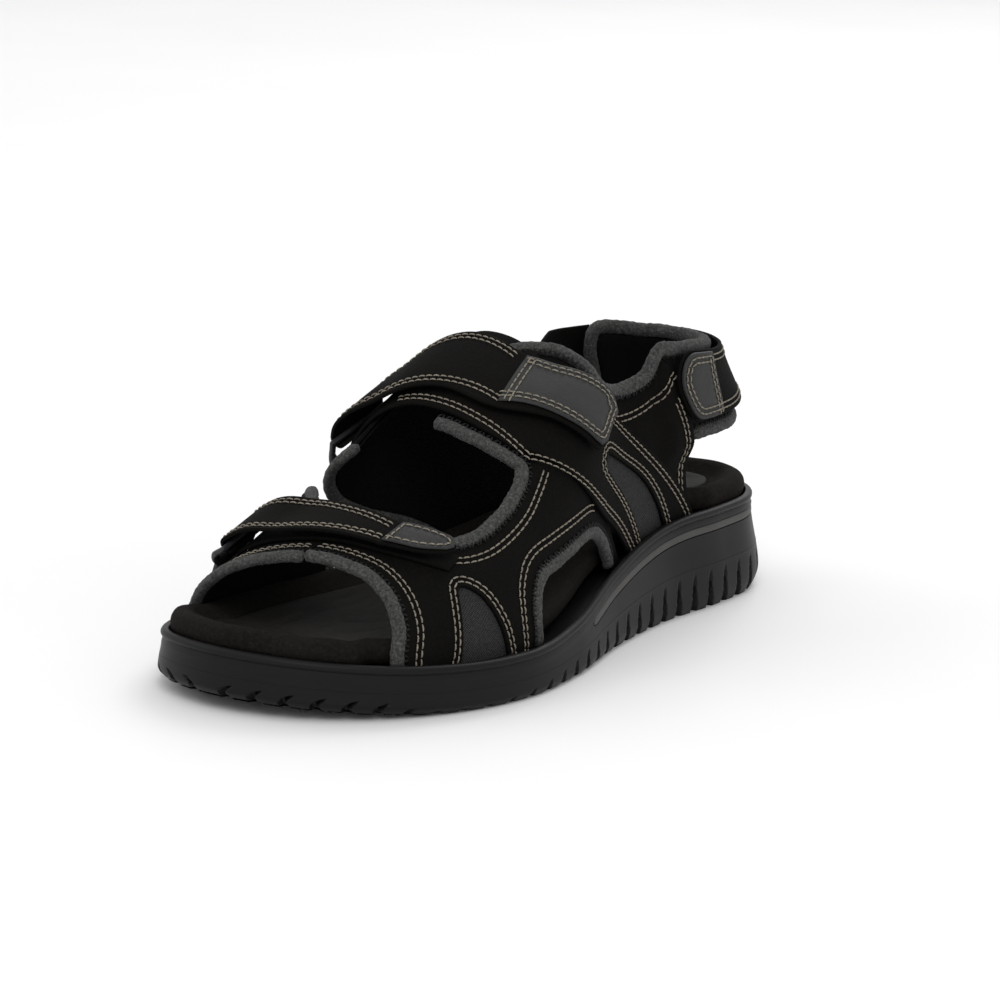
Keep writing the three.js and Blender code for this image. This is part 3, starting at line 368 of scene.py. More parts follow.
# ---- Ring bars and folding straps ------------------------------------------------------------
STRAP_MIDDLE = sum(STRAP) / 2
STRAP_LIFT = 3.0
FOLD_RADIUS = 2.5
BAR_AWAY = STRAP_MIDDLE + STRAP_LIFT - FOLD_RADIUS
FOLD_STRETCH = 4.0
FOLD_LENGTH = 2.9 * FOLD_RADIUS * FOLD_STRETCH
RING_THICKNESS = 2.0
RING_BAR = 2.2
RING_SEAT = SHELL[1] + SEAM_GAP + 0.2 + RING_THICKNESS / 2


class Bar:
    """A ring's bar: where it lies, which way it runs and which way is out."""

    def __init__(self, bar, start, end):
        self.bar = bar
        self.middle = (start + end) / 2
        self.origin = OVER_FOOT(self.middle, bar, BAR_AWAY)
        span = OVER_FOOT(end, bar, BAR_AWAY) - OVER_FOOT(start, bar, BAR_AWAY)
        self.along = unit(span)
        down = OVER_FOOT(self.middle, bar - 1, BAR_AWAY) - OVER_FOOT(self.middle, bar + 1, BAR_AWAY)
        self.down = unit(down - self.along * down.dot(self.along))
        out = np.cross(self.along, self.down)
        if out.dot(OVER_FOOT(self.middle, bar, 9.0) - OVER_FOOT(self.middle, bar, 0.0)) < 0:
            out = -out
        self.out = out
        self.per_station = np.linalg.norm(span) / (end - start)

    def strap(self, station, across, away):
        """A place on the strap that turns round this bar and lies over the foot."""
        station, across, away = np.broadcast_arrays(*(np.asarray(v, float) for v in (station, across, away)))
        s, a, w = station[..., None], across[..., None], away[..., None]
        straight = self.origin + self.along * (s - self.middle) * self.per_station
        radius = FOLD_RADIUS + w - STRAP_MIDDLE
        turn = np.maximum(self.bar - a, 0) / (FOLD_RADIUS * FOLD_STRETCH)
        folded = straight + self.out * radius * np.cos(turn) + self.down * radius * np.sin(turn)
        flat = straight + self.out * radius + self.down * (self.bar - a)
        raised = away + STRAP_LIFT * (1 - smoothstep(across, self.bar, self.bar + 20))
        laid = OVER_FOOT(station, across, raised)
        free = lerp(flat, laid, smoothstep(a, self.bar + 1, self.bar + 16))
        return np.where(a < self.bar, folded, free)

    def ring(self, u, v, depth):
        """A place on the ring: u along its bar, v from the bar to the sewn end, depth outward."""
        u, v, depth = np.broadcast_arrays(*(np.asarray(x, float) for x in (u, v, depth)))
        straight = self.origin + self.along * u[..., None] + self.down * v[..., None]
        straight = straight + self.out * depth[..., None]
        away = lerp(BAR_AWAY, RING_SEAT, smoothstep(v, 0, 14)) + depth
        laid = OVER_FOOT(self.middle + u / self.per_station, self.bar - v, away)
        return lerp(straight, laid, smoothstep(v, 3.4, 9)[..., None])


TOE_BAR = Bar(-33.0, -101.0, -77.0)
INSTEP_BAR = Bar(-38.0, -35.0, -17.0)


def root_place(around, up, away):
    """The sewn end of the heel strap, rising from the quarter to the strap's own layer."""
    raised = np.asarray(away, float) + (HEEL_STRAP[0] - OVER[0]) * smoothstep(around, -90, -60)
    return ROUND_HEEL(around, up, raised)


# ---- Pattern outlines ------------------------------------------------------------------------
def smooth_run(run, spacing=1.6):
    """Evenly spaced points on the smooth line through a run."""
    run = np.asarray(run, float)
    fine = through(run, np.linspace(0, 1, 40 * len(run)))
    length = running_length(fine)
    count = max(2, round(length[-1] / spacing))
    at = np.linspace(0, length[-1], count + 1)
    return np.stack([np.interp(at, length, fine[:, k]) for k in (0, 1)], axis=1)


def outlined(*runs, spacing=1.6):
    """A closed outline: straight between runs, smooth within each run, evenly divided."""
    corners = [smooth_run(run, spacing) if len(run) > 2 else np.asarray(run, float) for run in runs]
    corners = np.vstack(corners)
    points = []
    for a, b in zip(corners, np.roll(corners, -1, axis=0)):
        length = np.linalg.norm(b - a)
        if length < 0.3:
            continue
        count = max(1, round(length / spacing))
        points += [lerp(a, b, k / count) for k in range(count)]
    return np.array(points)


def shifted(run, by, spacing=1.6):
    """A run moved sideways, to the left of its direction when `by` is positive."""
    points = smooth_run(run, spacing)
    step = unit(np.gradient(points, axis=0))
    return points + np.stack([-step[:, 1], step[:, 0]], axis=1) * by


def from_ridge(side, station, across):
    """A pattern point given by its distance from the ridge."""
    return (station, float(section_length(side, station)[0]) - across)


def to_ridge(points):
    """Wall points on the outer side, as station and distance from the ridge."""
    return [(c, float(section_length(1, c)[0]) - up) for c, up in points]


def run_to_ridge(run):
    """A run on the outer wall, smoothed there, as station and distance from the ridge."""
    return to_ridge(smooth_run(run, 3.0))


def left_of(loop):
    """Directions to the left of a closed outline, at each of its points."""
    step = np.roll(loop, -1, axis=0) - np.roll(loop, 1, axis=0)
    step /= np.maximum(np.linalg.norm(step, axis=1, keepdims=True), 1e-9)
    return np.stack([-step[:, 1], step[:, 0]], axis=1)


def grown(loop, by):
    """A closed outline moved outward."""
    ahead = np.roll(loop, -1, axis=0)
    turned = np.sign((loop[:, 0] * ahead[:, 1] - ahead[:, 0] * loop[:, 1]).sum())
    moved = loop - left_of(loop) * by * turned
    return moved[edge_distance(moved, [loop])[0] > 0.9 * by]


def edge_distance(points, loops):
    """Distance of each point to the nearest of the loops' edges, and whether it is inside."""
    nearest = np.full(len(points), 1e9)
    inside = np.zeros(len(points), bool)
    for loop in loops:
        for a, b in zip(loop, np.roll(loop, -1, axis=0)):
            d = b - a
            t = np.clip(((points - a) @ d) / d.dot(d), 0, 1)
            nearest = np.minimum(nearest, np.linalg.norm(points - a - t[:, None] * d, axis=1))
            crosses = (a[1] > points[:, 1]) != (b[1] > points[:, 1])
            if abs(d[1]) > 1e-12:
                inside ^= crosses & (points[:, 0] < a[0] + (points[:, 1] - a[1]) * d[0] / d[1])
    return nearest, inside


def triangulated(loops, cell, rings=(0.22, 0.6), extra=None):
    """Even triangles over a flat outline with holes, with rows of points near its edges."""
    corners = np.vstack(loops)
    edges, start = [], 0
    for loop in loops:
        n = len(loop)
        edges += [(start + i, start + (i + 1) % n) for i in range(n)]
        start += n
    near = []
    for loop in loops:
        left = left_of(loop)
        for ring in rings:
            near += [loop + left * ring, loop - left * ring]
    depth = max(rings) if len(rings) else 0.0
    kept = [corners]
    if near:
        near = np.vstack(near)
        distance, inside = edge_distance(near, loops)
        least = np.concatenate([np.full(len(loop), r) for loop in loops for r in rings for _ in (0, 1)])
        kept.append(near[inside & (distance > 0.9 * least)])
    low, high = corners.min(axis=0), corners.max(axis=0)
    xs = np.arange(low[0] + 0.31 * cell, high[0], cell)
    ys = np.arange(low[1] + 0.37 * cell, high[1], cell * 0.866)
    grid = np.array([(x + 0.5 * cell * (j % 2), y) for j, y in enumerate(ys) for x in xs])
    if extra is not None and len(extra):
        distance, inside = edge_distance(extra, loops)
        extra = extra[inside & (distance > depth + 0.25)]
    if len(grid):
        distance, inside = edge_distance(grid, loops)
        grid = grid[inside & (distance > depth + 0.45 * cell)]
    if extra is not None and len(extra):
        kept.append(extra)
        if len(grid):
            gaps = np.concatenate([
                np.sqrt(((grid[i:i + 400, None] - extra[None]) ** 2).sum(axis=2)).min(axis=1)
                for i in range(0, len(grid), 400)])
            grid = grid[gaps > 0.8]
    kept.append(grid.reshape(-1, 2))
    points = np.vstack(kept)
    result = delaunay_2d_cdt([Vector(p) for p in points], edges, [], 0, 1e-5)
    flat = np.array([tuple(v) for v in result[0]])
    faces = np.array([tuple(f) for f in result[2]])
    middle = flat[faces].mean(axis=1)
    faces = faces[edge_distance(middle, loops)[1]]
    used = np.unique(faces)
    index = np.full(len(flat), -1)
    index[used] = np.arange(len(used))
    flat, faces = flat[used], index[faces]
    a, b, c = flat[faces[:, 0]], flat[faces[:, 1]], flat[faces[:, 2]]
    turned = (b[:, 0] - a[:, 0]) * (c[:, 1] - a[:, 1]) - (b[:, 1] - a[:, 1]) * (c[:, 0] - a[:, 0])
    faces = faces[np.abs(turned) > 1e-7]
    turned = turned[np.abs(turned) > 1e-7]
    faces[turned < 0] = faces[turned < 0][:, ::-1]
    return flat, faces


def open_edges(faces):
    """Directed edges that belong to one face only."""
    pairs = np.vstack([faces[:, [0, 1]], faces[:, [1, 2]], faces[:, [2, 0]]])
    size = faces.max() + 1
    key, back = pairs[:, 0] * size + pairs[:, 1], pairs[:, 1] * size + pairs[:, 0]
    return pairs[~np.isin(key, back)]


def volume(points, faces):
    """Signed volume of a closed triangle mesh."""
    a, b, c = (points[faces[:, k]] for k in range(3))
    return np.einsum("ij,ij->i", a, np.cross(b, c)).sum()


def two_faced(flat, faces, top, bottom):
    """A closed piece from flat triangles and the places of its two faces."""
    n = len(flat)
    rim = open_edges(faces)
    walls = np.vstack([
        np.column_stack([rim[:, 1], rim[:, 0], n + rim[:, 0]]),
        np.column_stack([rim[:, 1], n + rim[:, 0], n + rim[:, 1]]),
    ])
    points = np.vstack([top, bottom])
    every = np.vstack([faces, n + faces[:, ::-1], walls])
    if volume(points - points.mean(axis=0), every) < 0:
        every = every[:, ::-1]
    return points, every, np.vstack([flat, flat])


def slab(flat, faces, place, inner, outer, bevel=0.45, press=None, crown=0.0, loops=None):
    """A sheet with thickness, from a flat triangulation laid on the form, with rounded edges."""
    distance = edge_distance(flat, loops)[0] if loops is not None else np.full(len(flat), 99.0)
    left = np.clip(1 - distance / max(bevel, 1e-6), 0, 1)
    drop = bevel * (1 - np.sqrt(np.clip(1 - left ** 2, 0, 1)))
    swell = crown * (1 - (1 - np.clip(distance / 7.0, 0, 1)) ** 2)
    sunk = press if press is not None else 0.0
    top = place(flat[:, 0], flat[:, 1], outer - drop - sunk + swell - crown)
    bottom = place(flat[:, 0], flat[:, 1], inner + 0.6 * drop - 0.4 * swell)
    return two_faced(flat, faces, top, bottom)


# ---- Making objects --------------------------------------------------------------------------
def deselect():
    """Nothing selected, nothing active."""
    bpy.ops.object.select_all(action="DESELECT")


def make_object(name, points, faces, finish, body, nodes=(), uv=None, angle=40.0):
    """A mesh object from millimetre points, smoothed, with its finish, body and CAD nodes."""
    mesh = bpy.data.meshes.new(name)
    places = ((np.asarray(points) + CENTRE_SHIFT) * MM).tolist()
    mesh.from_pydata(places, [], [tuple(int(i) for i in f) for f in faces])
    if uv is not None:
        layer = mesh.uv_layers.new(name="pattern")
        corner = np.empty(len(mesh.loops), int)
        mesh.loops.foreach_get("vertex_index", corner)
        layer.data.foreach_set("uv", (np.asarray(uv)[corner] * MM).astype(np.float32).ravel())
    mesh.update()
    obj = bpy.data.objects.new(name, mesh)
    bpy.context.scene.collection.objects.link(obj)
    deselect()
    obj.select_set(True)
    bpy.context.view_layer.objects.active = obj
    bpy.ops.object.shade_smooth_by_angle(angle=math.radians(angle))
    deselect()
    mesh.materials.append(finish)
    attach(obj, body)
    if nodes:
        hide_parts(*nodes)
    return obj


def tube(run, place, away, half_width, half_height, spacing=1.3, sides=14, roughen=0.1):
    """A soft round tape along a run of pattern points, closed and rounded at both ends."""
    run = np.asarray(run, float)
    fine = through(run, np.linspace(0, 1, 30 * len(run)))
    centre = place(fine[:, 0], fine[:, 1], away)
    length = running_length(centre)
    count = max(3, round(length[-1] / spacing))
    at = np.linspace(0, length[-1], count + 1)
    flat = np.stack([np.interp(at, length, fine[:, k]) for k in (0, 1)], axis=1)
    centre = place(flat[:, 0], flat[:, 1], away)
    above = place(flat[:, 0], flat[:, 1], away + 1.0)
    along = unit(np.gradient(centre, axis=0))
    out = above - centre
    out = unit(out - along * (out * along).sum(axis=1, keepdims=True))
    across = np.cross(along, out)
    turn = 2 * math.pi * np.arange(sides) / sides
    wave = 1 + roughen * np.sin(at[:, None] * 1.9 + 2.0 * np.cos(turn)[None]) * 0.5
    wave = wave + roughen * 0.5 * np.sin(at[:, None] * 4.3 + 3.0 * turn[None])
    end = np.minimum(at, length[-1] - at)
    close = np.sqrt(np.clip(1 - (1 - np.clip(end / 1.6, 0, 1)) ** 2, 0.03, 1))[:, None]
    wide = (half_width * np.cos(turn))[None] * wave * close
    high = (half_height * np.sin(turn))[None] * wave * close
    points = centre[:, None] + across[:, None] * wide[..., None] + out[:, None] * high[..., None]
    uv = np.stack(np.broadcast_arrays(at[:, None], turn[None] * half_width), axis=-1)
    return rings_closed(points, uv)


def rings_closed(points, uv=None):
    """A closed mesh from rows of rings, with a fan over each end."""
    rows, sides = points.shape[:2]
    index = np.arange(rows * sides).reshape(rows, sides)
    a, b = index[:-1], np.roll(index, -1, axis=1)[:-1]
    c, d = np.roll(index, -1, axis=1)[1:], index[1:]
    quads = np.stack([a, b, c, d], axis=-1).reshape(-1, 4)
    faces = [tuple(q) for q in quads]
    faces += [tuple(index[0][::-1]), tuple(index[-1])]
    flat = points.reshape(-1, 3)
    thirds = np.vstack([quads[:, [0, 1, 2]], quads[:, [0, 2, 3]]])
    middle = flat.mean(axis=0)
    if volume(flat - middle, thirds) < 0:
        faces = [f[::-1] for f in faces]
    return flat, faces, None if uv is None else uv.reshape(-1, 2)


# ---- Stitches --------------------------------------------------------------------------------
STITCH_SIDES = 6
STITCH_ROWS = np.array([-1.0, -0.72, -0.3, 0.3, 0.72, 1.0])


def metric_shift(place, a, b, away, along, amount):
    """Pattern points moved a real distance to the left of a real direction on the surface."""
    step = 0.5
    da = (place(a + step, b, away) - place(a - step, b, away)) / (2 * step)
    db = (place(a, b + step, away) - place(a, b - step, away)) / (2 * step)
    left = np.cross(unit(np.cross(da, db)), along) * amount
    aa, ab, bb = (da * da).sum(axis=1), (da * db).sum(axis=1), (db * db).sum(axis=1)
    la, lb = (left * da).sum(axis=1), (left * db).sum(axis=1)
    det = aa * bb - ab * ab
    return a + (la * bb - lb * ab) / det, b + (lb * aa - la * ab) / det


def real_run(run, place, away, offset=0.0, spacing=0.8):
    """A run laid on the surface, moved `offset` to its left, evenly spaced in real length."""
    run = np.asarray(run, float)
    fine = through(run, np.linspace(0, 1, 24 * len(run))) if len(run) > 2 else lerp(
        run[0], run[1], np.linspace(0, 1, 40)[:, None])
    places = place(fine[:, 0], fine[:, 1], away)
    if offset:
        along = np.gradient(places, axis=0)
        along /= np.maximum(np.linalg.norm(along, axis=1, keepdims=True), 1e-9)
        a, b = metric_shift(place, fine[:, 0], fine[:, 1], away, along, offset)
        base = places
        places = place(a, b, away)
        gaps = np.sqrt(((places[:, None] - base[None]) ** 2).sum(axis=2)).min(axis=1)
        kept = gaps > 0.93 * abs(offset)
        fine = np.stack([a, b], axis=1)[kept]
        places = places[kept]
    length = running_length(places)
    count = max(2, round(length[-1] / spacing))
    at = np.linspace(0, length[-1], count + 1)
    return np.stack([np.interp(at, length, fine[:, k]) for k in (0, 1)], axis=1), at


def stitch_row(run, place, away, offset, sizes, zigzag=0.0):
    """Stitches along a run: each one a short bowed thread that dips into the surface at its ends."""
    flat, at = real_run(run, place, away, offset)
    pitch = sizes["pitch"]
    count = int(at[-1] / pitch)
    if count < 1:
        return np.zeros((0, len(STITCH_ROWS), STITCH_SIDES, 3))
    start = (at[-1] - count * pitch) / 2
    middle = start + pitch * (np.arange(count) + 0.5)
    half = sizes["length"] / 2
    ends = middle[:, None] + np.array([-half, half])[None]
    a = np.interp(ends, at, flat[:, 0])
    b = np.interp(ends, at, flat[:, 1])
    if zigzag:
        tips = place(a, b, np.full(a.shape, away))
        along = tips[:, 1] - tips[:, 0]
        along /= np.maximum(np.linalg.norm(along, axis=1, keepdims=True), 1e-9)
        swing = zigzag * (1 - 2 * (np.arange(count) % 2))
        for k, way in ((0, -1), (1, 1)):
            a[:, k], b[:, k] = metric_shift(place, a[:, k], b[:, k], away, along, (way * swing)[:, None])
    t = STITCH_ROWS
    share = (t + 1) / 2
    aa = a[:, :1] * (1 - share) + a[:, 1:] * share
    bb = b[:, :1] * (1 - share) + b[:, 1:] * share
    bow = sizes["bow"] * (1 - t ** 2) - sizes["dip"]
    centre = place(aa, bb, away + bow[None] + np.zeros_like(aa))
    above = place(aa, bb, away + 1.0 + np.zeros_like(aa)) - place(aa, bb, away + np.zeros_like(aa))
    along = unit(np.gradient(centre, axis=1))
    above = unit(above - along * (above * along).sum(axis=2, keepdims=True))
    across = np.cross(along, above)
    turn = 2 * math.pi * np.arange(STITCH_SIDES) / STITCH_SIDES
    radius = sizes["width"] / 2 * np.sqrt(np.clip(1 - 0.75 * t ** 4, 0.05, 1))
    ring = (across[:, :, None] * np.cos(turn)[None, None, :, None]
            + 0.8 * above[:, :, None] * np.sin(turn)[None, None, :, None])
    return centre[:, :, None] + ring * radius[None, :, None, None]


def make_stitches(name, rows, thread, body):
    """One object from rows of stitches."""
    blocks = np.concatenate([r for r in rows if len(r)])
    count, levels, sides = blocks.shape[:3]
    index = np.arange(levels * sides).reshape(levels, sides)
    turned = np.roll(index, -1, axis=1)
    quads = np.stack([index[:-1], turned[:-1], turned[1:], index[1:]], axis=-1).reshape(-1, 4)
    flat = blocks.reshape(count, -1, 3)
    thirds = np.vstack([quads[:, [0, 1, 2]], quads[:, [0, 2, 3]]])
    one = [tuple(q) for q in quads] + [tuple(index[0][::-1]), tuple(index[-1])]
    if volume(flat[0] - flat[0].mean(axis=0), thirds) < 0:
        one = [f[::-1] for f in one]
    faces = [tuple(i + k * levels * sides for i in f) for k in range(count) for f in one]
    return make_object(name, flat.reshape(-1, 3), faces, thread, body, angle=60)


# ---- Materials -------------------------------------------------------------------------------
def shade(value):
    """A linear value from a display value of 0 to 255."""
    c = value / 255
    return c / 12.92 if c <= 0.04045 else ((c + 0.055) / 1.055) ** 2.4


def tone(red, green, blue):
    """A linear colour from display values."""
    return (shade(red), shade(green), shade(blue), 1.0)


BAND_SCALE = 0.31831    # a wave texture's scale for one band to the unit


class Finish:
    """Builds one procedural material."""

    def __init__(self, name, roughness, sheen=0.0, specular=0.5):
        self.material = bpy.data.materials.new(name)
        self.material.use_nodes = True
        self.tree = self.material.node_tree
        self.shader = self.tree.nodes["Principled BSDF"]
        self.shader.inputs["Roughness"].default_value = roughness
        self.shader.inputs["Specular IOR Level"].default_value = specular
        if sheen:
            self.shader.inputs["Sheen Weight"].default_value = sheen
            self.shader.inputs["Sheen Roughness"].default_value = 0.5
        self.place = self.add("ShaderNodeTexCoord").outputs["Object"]
        self.height = None

    def add(self, kind, **settings):
        """A node with its settings."""
        node = self.tree.nodes.new(kind)
        for key, value in settings.items():
            setattr(node, key, value)
        return node

    def link(self, output, target):
        """Join two sockets."""
        self.tree.links.new(output, target)

    def on_pattern(self):
        """Take places from the piece's own pattern map from here on."""
        self.place = self.add("ShaderNodeUVMap", uv_map="pattern").outputs["UV"]
        return self

    def scaled(self, scale, turn=(0, 0, 0)):
        """The place, stretched and turned."""
        node = self.add("ShaderNodeMapping")
        node.inputs["Scale"].default_value = scale
        node.inputs["Rotation"].default_value = turn
        self.link(self.place, node.inputs["Vector"])
        return node.outputs["Vector"]

    def noise(self, per_metre, detail=4.0, stretch=(1, 1, 1), roughness=0.6):
        """Noise with so many cells to the metre."""
        node = self.add("ShaderNodeTexNoise")
        node.inputs["Scale"].default_value = per_metre
        node.inputs["Detail"].default_value = detail
        node.inputs["Roughness"].default_value = roughness
        self.link(self.scaled(stretch), node.inputs["Vector"])
        return node.outputs["Fac"]

    def cells(self, per_metre, stretch=(1, 1, 1)):
        """Distance to the nearest of so many points to the metre."""
        node = self.add("ShaderNodeTexVoronoi")
        node.inputs["Scale"].default_value = per_metre
        self.link(self.scaled(stretch), node.inputs["Vector"])
        return node.outputs["Distance"]

    def waves(self, per_metre, turn=(0, 0, 0), distortion=0.0, detail=2.0, detail_scale=1.0):
        """Straight bands, so many to the metre."""
        node = self.add("ShaderNodeTexWave", wave_type="BANDS", bands_direction="X")
        node.inputs["Scale"].default_value = per_metre * BAND_SCALE
        node.inputs["Distortion"].default_value = distortion
        node.inputs["Detail"].default_value = detail
        node.inputs["Detail Scale"].default_value = detail_scale
        self.link(self.scaled((1, 1, 1), turn), node.inputs["Vector"])
        return node.outputs["Fac"]

    def ramp(self, value, stops):
        """Colours along a value."""
        node = self.add("ShaderNodeValToRGB")
        ramp = node.color_ramp
        ramp.elements[0].position, ramp.elements[0].color = stops[0]
        ramp.elements[1].position, ramp.elements[1].color = stops[-1]
        for position, colour in stops[1:-1]:
            ramp.elements.new(position).color = colour
        self.link(value, node.inputs["Fac"])
        return node.outputs["Color"]

    def mixed(self, share, first, second, blend="MIX"):
        """Two colours mixed."""
        node = self.add("ShaderNodeMix", data_type="RGBA", blend_type=blend)
        sockets = (node.inputs["Factor"], node.inputs[6], node.inputs[7])
        for socket, value in zip(sockets, (share, first, second)):
            if isinstance(value, (int, float, tuple)):
                socket.default_value = value
            else:
                self.link(value, socket)
        return node.outputs[2]

    def maths(self, operation, first, second):
        """A sum of two values."""
        node = self.add("ShaderNodeMath", operation=operation)
        for socket, value in zip(node.inputs, (first, second)):
            if isinstance(value, (int, float)):
                socket.default_value = value
            else:
                self.link(value, socket)
        return node.outputs[0]

    def colour(self, output):
        """Set the base colour."""
        self.link(output, self.shader.inputs["Base Color"])
        return self

    def rough(self, value, low, high):
        """Roughness that varies with a value."""
        node = self.add("ShaderNodeMapRange")
        node.inputs["To Min"].default_value = low
        node.inputs["To Max"].default_value = high
        self.link(value, node.inputs["Value"])
        self.link(node.outputs["Result"], self.shader.inputs["Roughness"])
        return self

    def bump(self, value, depth_mm, strength=1.0):
        """Relief from a value, of the given depth."""
        node = self.add("ShaderNodeBump")
        node.inputs["Strength"].default_value = strength
        node.inputs["Distance"].default_value = depth_mm * MM
        self.link(value, node.inputs["Height"])
        if self.height is not None:
            self.link(self.height, node.inputs["Normal"])
        self.height = node.outputs["Normal"]
        self.link(self.height, self.shader.inputs["Normal"])
        return self


def make_finishes():
    """All the finishes of the sandal by name."""
    made = {}
    colours = bpy.context.scene.sandal_colours

    def base(name):
        return tuple(getattr(colours, name)) + (1.0,)

    def scaled_tone(colour, factor):
        return tuple(c * factor for c in colour[:3]) + (1.0,)

    def leather(name, colour, roughness, specular, grain, depth, cloud, speck=0.0):
        f = Finish(name, roughness, specular=specular)
        large = f.noise(38, 3.0)
        mix = f.ramp(large, [(0.3, scaled_tone(colour, 1 - cloud)), (0.7, scaled_tone(colour, 1 + cloud))])
        fine = f.noise(grain, 6.0, roughness=0.7)
        share = f.ramp(fine, [(0.42, (0, 0, 0, 1)), (0.75, (1, 1, 1, 1))])
        mix = f.mixed(share, mix, scaled_tone(colour, 1.9))
        if speck:
            pores = f.cells(700)
            mix = f.mixed(f.ramp(pores, [(0.05, (speck, speck, speck, 1)), (0.13, (0, 0, 0, 1))]), mix,
                          scaled_tone(colour, 5.0))
        f.colour(mix).rough(fine, roughness - 0.1, roughness + 0.1)
        f.bump(fine, depth).bump(f.cells(grain * 0.8), depth * 0.6, 0.6).bump(large, 0.5, 0.35)
        made[name] = f.material

    leather("nubuck", base("nubuck"), 0.85, 0.06, 900, 0.16, 0.22, 0.3)
    leather("suede", base("suede"), 0.92, 0.05, 700, 0.22, 0.25, 0.15)
    leather("pressed_suede", base("sock"), 0.7, 0.12, 500, 0.10, 0.25)

    f = Finish("smooth_leather", 0.52, specular=0.15)
    grey = base("tab")
    pebble = f.cells(1300)
    f.colour(f.ramp(f.noise(60, 4.0), [(0.3, scaled_tone(grey, 0.86)), (0.7, scaled_tone(grey, 1.14))]))
    f.rough(pebble, 0.45, 0.62).bump(pebble, 0.07, 0.8).bump(f.noise(220, 4.0), 0.12, 0.5)
    made["smooth_leather"] = f.material

    f = Finish("melange_tape", 0.95, 0.05, 0.1)
    tape = base("binding")
    fibres = f.noise(1100, 5.0, (1, 1, 1), 0.75)
    yarn = f.noise(420, 3.0, (1.0, 1.0, 2.2))
    mix = f.ramp(fibres, [(0.36, scaled_tone(tape, 0.42)), (0.5, tape), (0.66, scaled_tone(tape, 2.1))])
    share = f.ramp(yarn, [(0.35, (0.0, 0.0, 0.0, 1)), (0.7, (0.4, 0.4, 0.4, 1))])
    mix = f.mixed(share, mix, scaled_tone(tape, 0.5))
    f.colour(mix).bump(fibres, 0.35).bump(yarn, 0.3, 0.6)
    made["melange_tape"] = f.material

    f = Finish("ribbed_textile", 0.95, 0.05, 0.1).on_pattern()
    fin = base("fin")
    rib = f.waves(1150, (0, 0, 0.9))
    cross = f.waves(1400, (0, 0, -0.7))
    ribs = f.maths("MULTIPLY", rib, cross)
    mix = f.ramp(ribs, [(0.05, scaled_tone(fin, 0.45)), (0.6, scaled_tone(fin, 1.3))])
    fleck = f.noise(900, 4.0)
    share = f.ramp(fleck, [(0.4, (0, 0, 0, 1)), (0.7, (0.5, 0.5, 0.5, 1))])
    mix = f.mixed(share, mix, scaled_tone(fin, 1.9))
    f.colour(mix).bump(rib, 0.3).bump(cross, 0.2)
    made["ribbed_textile"] = f.material

    f = Finish("black_textile", 0.95, 0.0, 0.08).on_pattern()
    black = base("lining")
    warp = f.waves(1500, (0, 0, 0.6))
    weft = f.waves(1500, (0, 0, -0.97))
    weave = f.maths("MULTIPLY", warp, weft)
    f.colour(f.ramp(weave, [(0.1, scaled_tone(black, 0.5)), (0.7, scaled_tone(black, 1.5))]))
    f.bump(weave, 0.2).bump(f.noise(300, 3.0), 0.3, 0.4)
    made["black_textile"] = f.material

    f = Finish("loop_pile", 1.0, 0.0, 0.05)
    pile = f.cells(1500)
    f.colour(f.ramp(pile, [(0.1, scaled_tone(black, 1.6)), (0.6, scaled_tone(black, 0.3))]))
    f.bump(pile, 0.8).bump(f.noise(500, 4.0), 0.5)
    made["loop_pile"] = f.material

    f = Finish("moulded_sole", 0.42, 0.0, 0.14)
    sole = base("sole")
    stipple = f.noise(1500, 3.0)
    flow = f.noise(14, 5.0, (1.0, 1.0, 6.0))
    f.colour(f.ramp(flow, [(0.3, scaled_tone(sole, 0.85)), (0.7, scaled_tone(sole, 1.2))]))
    f.rough(flow, 0.36, 0.56).bump(stipple, 0.05, 0.6).bump(f.noise(260, 4.0), 0.06, 0.5)
    made["moulded_sole"] = f.material

    f = Finish("stripe", 0.55, 0.0, 0.2)
    pale = base("stripe")
    f.colour(f.ramp(f.noise(90, 3.0), [(0.3, scaled_tone(pale, 0.9)), (0.7, scaled_tone(pale, 1.1))]))
    f.bump(f.noise(900, 3.0), 0.04, 0.6)
    made["stripe"] = f.material

    for name, colour_name in (("ring_plastic", "ring"), ("ring_plate", "plate")):
        f = Finish(name, 0.42, 0.0, 0.3)
        plastic = base(colour_name)
        cloud = f.noise(120, 3.0)
        f.colour(f.ramp(cloud, [(0.3, scaled_tone(plastic, 0.92)), (0.7, scaled_tone(plastic, 1.1))]))
        f.rough(f.noise(400, 4.0), 0.36, 0.5).bump(f.noise(1800, 2.0), 0.03, 0.7)
        made[name] = f.material

    for name, colour_name in (("pale_thread", "thread"), ("dark_thread", "dark_thread")):
        f = Finish(name, 0.7, 0.0, 0.2)
        yarn_tone = base(colour_name)
        twist = f.noise(1700, 3.0)
        f.colour(f.ramp(twist, [(0.35, scaled_tone(yarn_tone, 0.55)), (0.65, scaled_tone(yarn_tone, 1.2))]))
        f.bump(twist, 0.15)
        made[name] = f.material

    f = Finish("floor", 0.6, 0.0, 0.3)
    f.colour(f.ramp(f.noise(3, 3.0), [(0.3, (0.83, 0.83, 0.83, 1)), (0.7, (0.86, 0.86, 0.86, 1))]))
    f.bump(f.noise(600, 2.0), 0.02, 0.3)
    made["floor"] = f.material
    return made


FINISHES = {}

